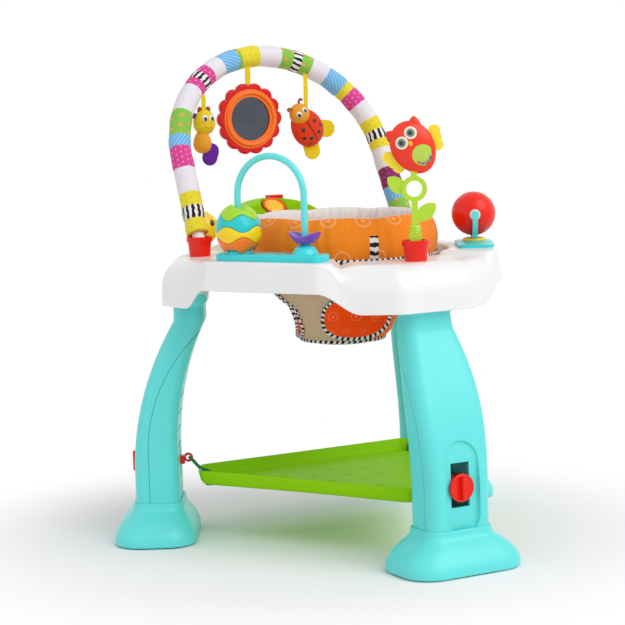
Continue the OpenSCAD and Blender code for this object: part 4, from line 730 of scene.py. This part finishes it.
for s, name in ((-1, "far"), (1, "near")):
    line = []
    for q in circle(64):
        rim = squared(cos(q), sin(q))
        across, up = hole_half[0] * cos(q) / rim, hole_z + hole_half[1] * sin(q) / rim
        line.append((sqrt(pouch_r(up) ** 2 - across ** 2), across, up))
    piping(f"leg_hole_piping_{name}", turned(line, strip_at + s * hole_off), across=(0.2, 0.1, 1))
bottom_piping = piping("pouch_piping", hoop(pouch_line[hem_row][0], pouch_line[hem_row][1] - 0.5, 5))


# Flower pots and toy bar. Three red pots stand on the hoods. A white tube arches between two of
# them, in a padded sleeve sewn from short patches of plain and printed cloth.
keep("flower_pots", red_plastic)
keep("bar_tube", white_plastic)
bar_r, bar_rise, bar_out, bar_up, bar_lean = 187, 138, 111, 470.08, radians(26)


def bar_point(u, x=0.0, y=0.0):
    """A point at u mm along the bar, x outwards in the bar's plane and y off that plane."""
    splay, straight, arc = radians(2), 144.61, 574.42
    if u < straight or u > straight + arc:
        s = 1 if u < straight else -1
        left = straight - u if s > 0 else u - straight - arc
        across, height = swung(bar_r + x, -left, splay)
        across *= s
    else:
        across, height = swung(bar_r + x, 0, splay + (u - straight) / bar_r)
    height += bar_rise
    return (bar_out + height * sin(bar_lean) + y * cos(bar_lean), across,
            bar_up + height * cos(bar_lean) - y * sin(bar_lean))


def dotted(ground, dot, pitch, size):
    return lambda w, u, v: w.tint(ground, dot, spots(u, v, pitch) < size)


def ringed(w, u, v):
    at = spots(u, v, 17.0)
    ring = w.tint("86cf4c", "f08a6a", (at - 0.05).size() < 0.022)
    return w.tint(ring, "f3e24a", at < 0.008)


def striped(w, u, v):
    return w.tint("6db8ee", "9fd6f8", (u * 700 + v * 900).sin() > 0.5)


prints = {"white": plain("f4f1f5", "e9e4ec"), "yellow": dotted("f0e136", "d9a928", 11.0, 0.012),
          "pink": dotted("e4479b", "f59cc9", 9.0, 0.03), "blue": striped, "green": ringed,
          "maroon": dotted("8f2f68", "b8568f", 10.0, 0.03)}
names = [*prints, "zebra"]
patch_cloths = [woven(name + "_patch", ink, 0.8, 1.0) for name, ink in prints.items()] + [zebra_ribbon]
patch_ends = (38, 60, 83, 126, 163, 183, 228, 278, 292, 308, 324, 351, 384, 391, 427, 468, 490, 506, 526, 557, 592,
              606, 632, 664, 686, 704, 720, 756, 790, 815, 848)
patch_order = """yellow zebra yellow white pink blue green white pink zebra pink white blue green yellow white green
    zebra green white blue yellow pink white yellow zebra yellow white maroon blue green""".split()
cols, begin = 36, 15.5
rows, seams = [(begin, 10.6, 0, "yellow"), (15.1, 13.5, 0, "yellow")], [0, 1]
for end, cloth in zip(patch_ends, patch_order):
    parts = max(4, round((end - begin) / 3.4))
    seams.append(len(rows))
    for k in range(parts):
        u = begin + (end - begin) * k / parts
        rows.append((u, (17.6 if k else 17.0) + 0.35 * sin(u / 6.5), 0.25, cloth))
    begin = end
seams += [len(rows), len(rows) + 1, len(rows) + 2]
rows += [(begin, 17.0, 0, "green"), (begin + 0.4, 13.5, 0, "green"), (begin, 10.6, 0, "green")]
sleeve_rings = [np.array([bar_point(u, (r + ripple * sin(5 * b + u / 9)) * cos(b), r * sin(b))
                          for b in circle(cols)]) for u, r, ripple, _ in rows]
points, faces, uv = skin(sleeve_rings, caps=False, along=[row[0] for row in rows], around=116)
sleeve = piece("bar_padding", (turned(points, music_pad), faces, uv), patch_cloths, "frame")
for face in sleeve.data.polygons:
    face.material_index = names.index(rows[face.index // cols][3])
plump(sleeve, [i * cols + j for i in seams for j in range(cols)], 0.0016)
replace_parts(sleeve, "bar_sleeve")


# Hanging toys. A petal mirror, a stuffed ladybird and a stuffed giraffe hang from ribbons sewn
# under the sleeve, with their faces towards the seat.
def stuffed(w, t, h, taper=0.0, rings=26, sides=36):
    """A filled form, t deep, w wide and h tall, that narrows upwards by its taper."""
    b, form = circle(sides), []
    for a in np.radians(np.linspace(-87, 87, rings)):
        s = cos(a) * (1 - taper * sin(a))
        line = np.column_stack([t / 2 * s * np.cos(b), w / 2 * s * np.sin(b)])
        form.append(level(line, h / 2 * sin(a)))
    return skin(form, along=1.3 * h, around=1.5 * w + 1.5 * t)


def front(w, t, h, y, z, grow=0.0):
    """The point and the direction of a stuffed form's front at y across and z up."""
    x = -t / 2 * sqrt(max(0.02, 1 - (2 * y / w) ** 2 - (2 * z / h) ** 2))
    way = unit(np.array([x / t ** 2, y / w ** 2, z / h ** 2]))
    return np.array([x, y, z]) + way * grow, way


def stud(place, r, h, tall=1.0):
    """A low button that stands on a surface; tall stretches it upwards."""
    at, way = place
    form = lathe([(r, -1.5), (r, 0.35 * h), (0.87 * r, 0.75 * h), (0.55 * r, 0.95 * h), (0.04 * r, h)], 24)
    u = unit(np.cross((0, 0, 1), way))
    return form[0] @ np.array([u, np.cross(way, u) * tall, way]) + at, form[1], None


def studs(size, places, r, h, tall=1.0, grow=0.0):
    """Equal buttons on the front of a stuffed form of this size."""
    return joined(*[stud(front(*size, y, z, grow), r, h, tall) for y, z in places])


def slab(outline, t, edge):
    """A flat form with soft edges, upright in the across-up plane."""
    line = np.asarray(outline, float)
    mid = line.mean(0)
    reach = np.linalg.norm(line - mid, axis=1)[:, None]
    steps = [(edge * (1 - sin(a)), edge * (1 - cos(a))) for a in np.radians((0, 30, 60, 90))]
    rows = [(inset, -t / 2 + lift) for inset, lift in steps]
    rows += [(inset, t / 2 - lift) for inset, lift in steps[::-1]]
    return skin([upright(mid + (line - mid) * (1 - inset / reach), out) for inset, out in rows])


def tilted(form, turn, shift=(0, 0, 0)):
    """A form turned about the out axis, then shifted."""
    c, s = cos(radians(turn)), sin(radians(turn))
    return form[0] @ np.array([(1, 0, 0), (0, c, s), (0, -s, c)]) + shift, form[1], form[2]


def hang(at, w):
    """How far out and up a strap of width w leaves the bar, at mm across."""
    height = bar_rise + sqrt(167.2 ** 2 - (abs(at) + w / 2) ** 2)
    return bar_out + height * sin(bar_lean), bar_up + height * cos(bar_lean)


def toy_piece(name, form, look, toy, node=None, crisp=None, up=None):
    """A piece of a hanging toy, from a form about the toy's middle or about a height of its own."""
    at, w, middle, _ = toys[toy]
    form = moved(form, (hang(at, w)[0], at, middle if up is None else up))
    made = piece(name, (turned(form[0], music_pad), form[1], form[2]), look, toy, crisp)
    if node:
        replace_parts(made, node)
    return made


def plush(name, code):
    def pile(w, u, v):
        return w.tint(code, shade(code, 0.82), w.noise(300.0))
    return woven(name, pile, 0.9, 0.9, 0.4, 0.12)


yellow_ribbon = plush("yellow_ribbon", "ffe21f")
black_ink, eye_white = moulded("black_plastic", "17151a", 0.25, 0.4), moulded("eye_white", "f7f6f2", 0.25, 0.4)
yellow_felt, red_plush = plush("yellow_felt", "ffe41e"), plush("red_plush", "f8431a")
orange_plush, yellow_plush = plush("orange_plush", "ffae34"), plush("yellow_plush", "ffdc28")
purple_plush, brown_plush = plush("purple_plush", "6a2aa6"), plush("brown_plush", "a8552a")
toys = {"mirror": (27, 10, 659, 715), "ladybird": (-78, 5, 641, 664), "giraffe": (122, 5, 657, 672)}
for toy, (at, w, _, low) in toys.items():
    half, rings = max(3.8, w / 2 - 0.15), []
    for k, z in zip(np.linspace(0, 1, 18), np.linspace(low, hang(at, w)[1] + 7, 18)):
        line = round_rect(0.9, half * (1 - 0.05 * sin(9 * k)), 0.8, 3)
        rings.append(level(line, z, 0.5 * sin(7 * k)))
    form = skin(rings, along=40, around=2 * w)
    toy_piece(toy + "_ribbon", form, yellow_ribbon, toy, toy + "_strap", up=0)

petals, petal_mid, petal_r = 14, 46, 13.5
half = pi / petals
reach = pi / 2 + half - acos(petal_mid * sin(half) / petal_r)
petal_line = []
for t in 2 * half * np.arange(petals):
    for a in t - reach + 2 * reach * np.arange(14) / 14:
        petal_line.append(np.add(swung(petal_mid, 0, t), swung(petal_r, 0, a)))
pocket = lathe([(49.05, -8), (49.05, -3), (39.05, -3), (39.05, 0)], 96)
form = carved(slab(petal_line, 12, 3.6), laid(pocket))
petal_red = moulded("petal_red", "da0c06", 0.32, 0.1, shine=0.3)
even(toy_piece("mirror_petals", form, petal_red, "mirror", "mirror_frame", 40))
keep("mirror_ring", moulded("orange_plastic", "ff780c", 0.28, 0.2, shine=0.35))


def mirror_film(w):
    haze = w.noise(30.0, 3.0)
    wave = w.node("Bump", Strength=0.05, Distance=0.0004, Height=haze)
    return w.node("BsdfPrincipled", Base_Color=w.tint("4a4d54", "5d6068", haze), Metallic=1.0,
                  Roughness=haze * 0.05 + 0.04, Normal=wave)


keep("mirror_glass", shader(bpy.data.materials.new("mirror_film"), mirror_film))

bug_size, bug_face, face_at, giraffe_size = (58, 28, 68), (36, 28, 36), (-4.7, 0, 28), (38, 30, 42)


def on_bug(form, shift=(0, 0, 0)):
    """A form of the ladybird, which hangs tilted."""
    return tilted(moved(form, shift), -35)


dots = [studs(bug_size, ((-y, z), (y, z)), r, 0.9) for y, z, r in
        ((13, 4, 3.4), (19, -9, 3.0), (9, -16, 3.6), (14, -24, 2.4))]
spine = np.array([front(*bug_size, 0, z, 0.2)[0] for z in np.linspace(12, -30, 22)])
feelers = [tube(smooth_line([(-2, s * 8, 14), (-3, s * 11, 19), (-4, s * 15, 20), (-5, s * 16, 16)], 5),
                1.9, 10, (1, 0, 0)) for s in (-1, 1)]
wing = slab(round_rect(14.5, 25, 14.4) + (0, 31.5), 3.6, 1.2)
wings = joined(*[tilted(wing, turn, (4.7, 0, 0)) for turn in (130, 198)])
bug_eyes = studs(bug_face, ((-6.5, 3), (6.5, 3)), 4.4, 1.2, 1.25)
bug_pupils = studs(bug_face, ((-5.8, 2), (7.0, 2)), 2.8, 0.8, 1.25, 1.0)
trunk, horn = tilted(stuffed(30, 25, 40, 0.25), 0, (0, 4.75, -31)), stuffed(8, 8, 11)
teether = tilted(slab(round_rect(13, 18.5, 12.9), 9, 3.4), 18, (0, -9.5, -53))
ear = tilted(slab(round_rect(4.5, 8, 4.4), 4, 1.4), -58, (0, 20, 12))
eyes = studs(giraffe_size, ((-7, 6), (5, 6)), 4.6, 1.2, 1.2)
pupils = studs(giraffe_size, ((-7.4, 5), (4.6, 5)), 3.0, 0.8, 1.25, 1.0)
nostrils = studs(giraffe_size, ((-5, -9), (3, -9)), 1.1, 0.5)
toy_parts = (
    ("ladybird_shell", on_bug(stuffed(*bug_size, 0.08)), red_plush, "body"),
    ("ladybird_face", on_bug(stuffed(*bug_face, 0.02), face_at), orange_plush, "head"),
    ("ladybird_spots", on_bug(joined(*dots, tube(spine, 0.8, 8, (0, 1, 0)))), black_ink, None),
    ("ladybird_eyes", on_bug(bug_eyes, face_at), eye_white, None),
    ("ladybird_pupils", on_bug(bug_pupils, face_at), black_ink, None),
    ("ladybird_feelers", on_bug(joined(*feelers), face_at), brown_plush, None),
    ("ladybird_felt_wings", on_bug(wings), yellow_felt, "wings"),
    ("giraffe_face", stuffed(*giraffe_size, 0.08), yellow_plush, "head"),
    ("giraffe_trunk", trunk, orange_plush, "body"),
    ("giraffe_ring", teether, purple_plush, "teether"),
    ("giraffe_horns", joined(*[moved(horn, (0, s * 7.6, 20)) for s in (-1, 1)]), brown_plush, None),
    ("giraffe_ear", ear, purple_plush, None),
    ("giraffe_eyes", eyes, eye_white, None),
    ("giraffe_pupils", joined(pupils, nostrils), black_ink, None))
for name, form, look, node in toy_parts:
    toy = name.split("_")[0]
    made = toy_piece(name, form, look, toy, node and f"{toy}_{node}")
    node in ("body", "head")


# Bead toy. A turquoise wire arch stands on a base with two domes. A wavy layered egg spins round
# one leg of the wire, and a purple petal cup slides up and down the other.
def base_plate(hx, hy, out=0.0):
    """The base of a tray toy, with a rounded upper edge."""
    return skin([level(round_rect(hx - inset, hy - inset, 12 - inset), z, out) for inset, z in
                 ((0.4, 454), (0, 454.6), (0, 461.5), (0.5, 463.4), (1.7, 464.6), (3.4, 465))])


teal_plastic = moulded("teal_plastic", "2bdbe2", 0.28, 0.25, 0.04)
bead_out, wire_half, dome_r, bore = 205, 58, 20, 5.6
dome = [(dome_r * cos(a), 460.5 + dome_r * sin(a)) for a in np.radians(np.linspace(20, 74, 14))]
dome = lathe([(dome_r - 0.1, 464), (dome_r - 0.1, 466)] + dome)
form = joined(base_plate(21, 92), *[moved(dome, (0, s * wire_half, 0)) for s in (-1, 1)])
rigid("bead_toy_base", moved(form, (bead_out, 0, 0)), bead_pad, teal_plastic, "frame", "bead_base", 45)
keep("bead_wire", moulded("wire_coating", "66e4e4", 0.3, 0.2))

egg_r, egg_h, cut_at, wave_h, gap = 35, 72, (0, 0.27, 0.5, 0.74, 1), 4.5, 0.3


def egg_out(share):
    if share < 0.42:
        return egg_r * (0.64 + 0.36 * sin(pi / 2 * share / 0.42))
    return egg_r * sqrt(max(0, 1 - ((share - 0.42) / 0.62) ** 2))


def egg_cut(j, t):
    """The height of wavy cut j at the angle t; the first and the last are the egg's ends."""
    wave = wave_h * (1 if j % 2 == 0 else -1) * cos(4 * t)
    return egg_h * cut_at[j] + wave + (wave_h if j == 0 else -wave_h if j == 4 else 0)


egg_layers = (
    ("bottom", "ff7c0a", [(20.6, 4.8), (20.6, 15.3), (bore, 15.3), (bore, 19.14)]),
    ("lower_band", "ffdb12", [(bore, 19.74), (bore, 35.7)]),
    ("upper_band", "14cdd4", [(bore, 36.3), (bore, 52.98)]),
    ("top", "a6de1a", [(bore, 53.58), (bore, 67.2), (6.2, 67.2)]))
for k, (name, code, inner) in enumerate(egg_layers):
    rings = []
    for t in circle(128):
        heights, wall = np.linspace(egg_cut(k + 1, t) - gap, egg_cut(k, t) + gap, 14), []
        for s, z in zip(np.linspace(0, 1, 14), heights):
            soft = 1.1 * (1 - min(1, 4 * s, 4 * (1 - s))) ** 2
            wall.append((egg_out(np.clip(z / egg_h, 0, 1)) - soft, z))
        rings.append(spoke(inner + wall, t))
    rigid("egg_layer_" + name, moved(skin(rings, loop=True), (bead_out, -wire_half, 466)), bead_pad,
          moulded("egg_" + name, code, 0.28, 0.2, shine=0.35), "egg", "egg_" + name, 50)
rings = []
for t in circle(96):
    wave = 4 * cos(2 * (t + pi / 2))
    rim, out = 14 + wave, 22 + wave
    cup = [(bore, 0), (bore, 9), (9.6, 9), (11.6, 8), (out - 4, rim - 0.4), (out - 2, rim), (out, rim - 0.6),
           ((out + 13) / 2 + 2, rim / 2), (13, 0.4), (11, 0), (bore, 0)]
    rings.append(spoke(filleted(cup, [0, 0.5, 1, 2, 2, 1, 1, 5, 1.5, 1, 0])[:-1], t))
rigid("petal_cup", moved(skin(rings, loop=True), (bead_out, wire_half, 480.8)), bead_pad,
      moulded("purple_plastic", "6f35b5", 0.28, 0.4), "bead", "cup_bead", 50)


# Owl toy. A red owl with a belly window, yellow wings and a springy lime stem rocks in the third
# pot; the window holds loose beads.
def at_owl(form):
    """A form of (deep, across, up) that faces the camera's side, leaning as the owl does."""
    deep, across, up = form[0].T
    across, up = swung(across, up, radians(29))
    return np.column_stack([168.8 + across, deep - 192.26, 617 + up]) / 1000, form[1], None


keep("owl_stem", moulded("glow_lime_plastic", "b5de1d", 0.3, 0.3))
keep("owl_wings", moulded("yellow_plastic", "ffe61c", 0.3, 0.2))
keep("owl_window", moulded("window_lime", "b9d640", 0.15, 0.6))
owl_size, eyes_at, pupils_at = (64, 28, 82), ((7, 21), (-11.5, 14.5)), ((6.4, 21), (-12, 14.5))
hole = moved(laid(lathe([(16, -20), (16, -8)], 64)), (0, 6.4, -16.4))
ears = [tilted(stuffed(18, 12, 19, 0.42), -s * 26, (0, s * 19.5, 31)) for s in (-1, 1)]
form = joined(carved(stuffed(*owl_size, -0.06, 36, 56), hole), *ears)
owl_red = moulded("owl_red_plastic", "f8310a", 0.28, 0.2, shine=0.35)
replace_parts(even(piece("owl_rattle", at_owl(form), owl_red, "owl", 40)), "owl_body")
owl_face = [("owl_eye_rims", studs(owl_size, eyes_at, 9.6, 1.0), moulded("eye_cream", "f2efd2", 0.3, 0.4)),
            ("owl_eyes", studs(owl_size, eyes_at, 6.4, 0.8, grow=0.8), moulded("eye_grey", "6f7f76", 0.12, 0.8)),
            ("owl_pupils", studs(owl_size, pupils_at, 3.4, 0.6, grow=1.5), black_ink),
            ("owl_beak", studs(owl_size, [(-1, 7.5)], 3.0, 3.0, 1.5), moulded("beak_yellow", "f6b51a", 0.3, 0.4))]
beads = ((0, -27, "2f7fd0"), (5, -29, "e23b8a"), (10, -28.5, "1f9a58"), (15, -25, "3a57c4"), (-4, -23, "e2571c"))
for k, (x, z, code) in enumerate(beads):
    owl_face.append((f"owl_bead_{k}", studs(owl_size, [(x, z)], 2.1, 1.6, grow=-0.2),
                     moulded(f"bead_colour_{k}", code, 0.2, 0.5)))
for name, form, look in owl_face:
    piece(name, at_owl(form), look, "owl")


# Ball toy. A red ball with white hubs turns between the arms of a turquoise fork, on a round
# foot with a yellow ring.
keep("ball_base", teal_plastic)
keep("ball_fork", turquoise_plastic)
keep("ball_ring", moulded("ring_yellow", "ffe01c", 0.28, 0.25))
keep("ball", red_plastic, 30)
hub = laid(lathe([(8.4, 34.6), (8.7, 35.2), (8.5, 35.9), (7.6, 36.2), (2.7, 36.2), (2.7, 35)], 40), (0, 2, 1))
form = joined(*[(hub[0] * (1, s, 1) + (211, 0, 504), hub[1], None) for s in (-1, 1)])
piece("ball_hubs", (turned(form[0], ball_pad), form[1], None), white_plastic, "ball", crisp=40)


# Music toy. A lime crest on the far pad holds a drum button and a red key; a yellow bird's head
# with a red nub stands at its end.
def at_drum(form):
    """A form about the drum's own axis, set where the drum leans out of the crest."""
    lean = radians(39)
    axes = np.array([(cos(lean), 0, sin(lean)), (0, 1, 0), (-sin(lean), 0, cos(lean))])
    return form[0] @ axes + (200, 11, 509), form[1], None


music_out, head_at, head_size = 212, (212, 138, 485), (56, 44.8, 56)
arc = [(y, 377 + sqrt(150 ** 2 - (y - 8) ** 2)) for y in np.linspace(-80, 96, 60)]
crest = slab([(-80, 455), (-80, 470), (-80, 484), *arc, (96, 484), (96, 470), (96, 455), (60, 455), (20, 455),
              (-20, 455)], 50, 5)
arch = moved(laid(lathe([(37, -40), (37, 40)], 72)), (music_out, -38.7, 465))
dish = at_drum(lathe([(9.5, -23), (9.5, -4), (20.5, -4), (21, 3), (24, 8), (34, 16), (60, 40)], 64))
slot = block((213, -19, 520.5), (235, 9, 540))
crest = carved(moved(crest, (music_out, 0, 0)), arch, dish, slot)
neck = moved(laid(lathe([(10, 94), (10, 124)], 40), (0, 2, 1)), (music_out, 0, 485))
form = joined(crest, base_plate(28, 88, music_out), neck)
rigid("music_crest", form, music_pad, lime_plastic, "frame", "music_body", 40)
keep("music_key", red_plastic)
drum = at_drum(lathe([(8, -18), (8, 0), (17, 0), (18, 0.6), (18, 6), (17, 7.6), (12, 9), (6, 9.6), (0.2, 9.8)], 64))
drum_yellow = moulded("drum_yellow", "fbc216", 0.3, 0.3)
rigid("drum_face", drum, music_pad, drum_yellow, "music_drum", "music_drum", 50)
ring = np.vstack([spoke([(18.1 + 0.5 * cos(12 * a), 7.2)], a) for a in circle(96)])
ring = turned(at_drum((ring, None, None))[0], music_pad)
drum_orange = moulded("drum_orange", "f5480a", 0.3, 0.15, shine=0.35)
piece("drum_rim", tube(ring, 0.0022, 12, (0.3, 0.2, 1), True), drum_orange, "music_drum")
bird = (("bird_head", moved(stuffed(*head_size, 0.02), head_at), moulded("bird_yellow", "f6d41c", 0.32, 0.3)),
        ("bird_nub", moved(stuffed(16, 16, 16), (music_out, 156.7, 509)), red_plastic),
        ("bird_eye", moved(studs(head_size, [(-10, 9)], 4.2, 1.0, 1.2), head_at), black_ink))
for name, form, look in bird:
    made = piece(name, (turned(form[0], music_pad), form[1], None), look, "frame")
    if name == "bird_head":
        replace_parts(made, "music_head")
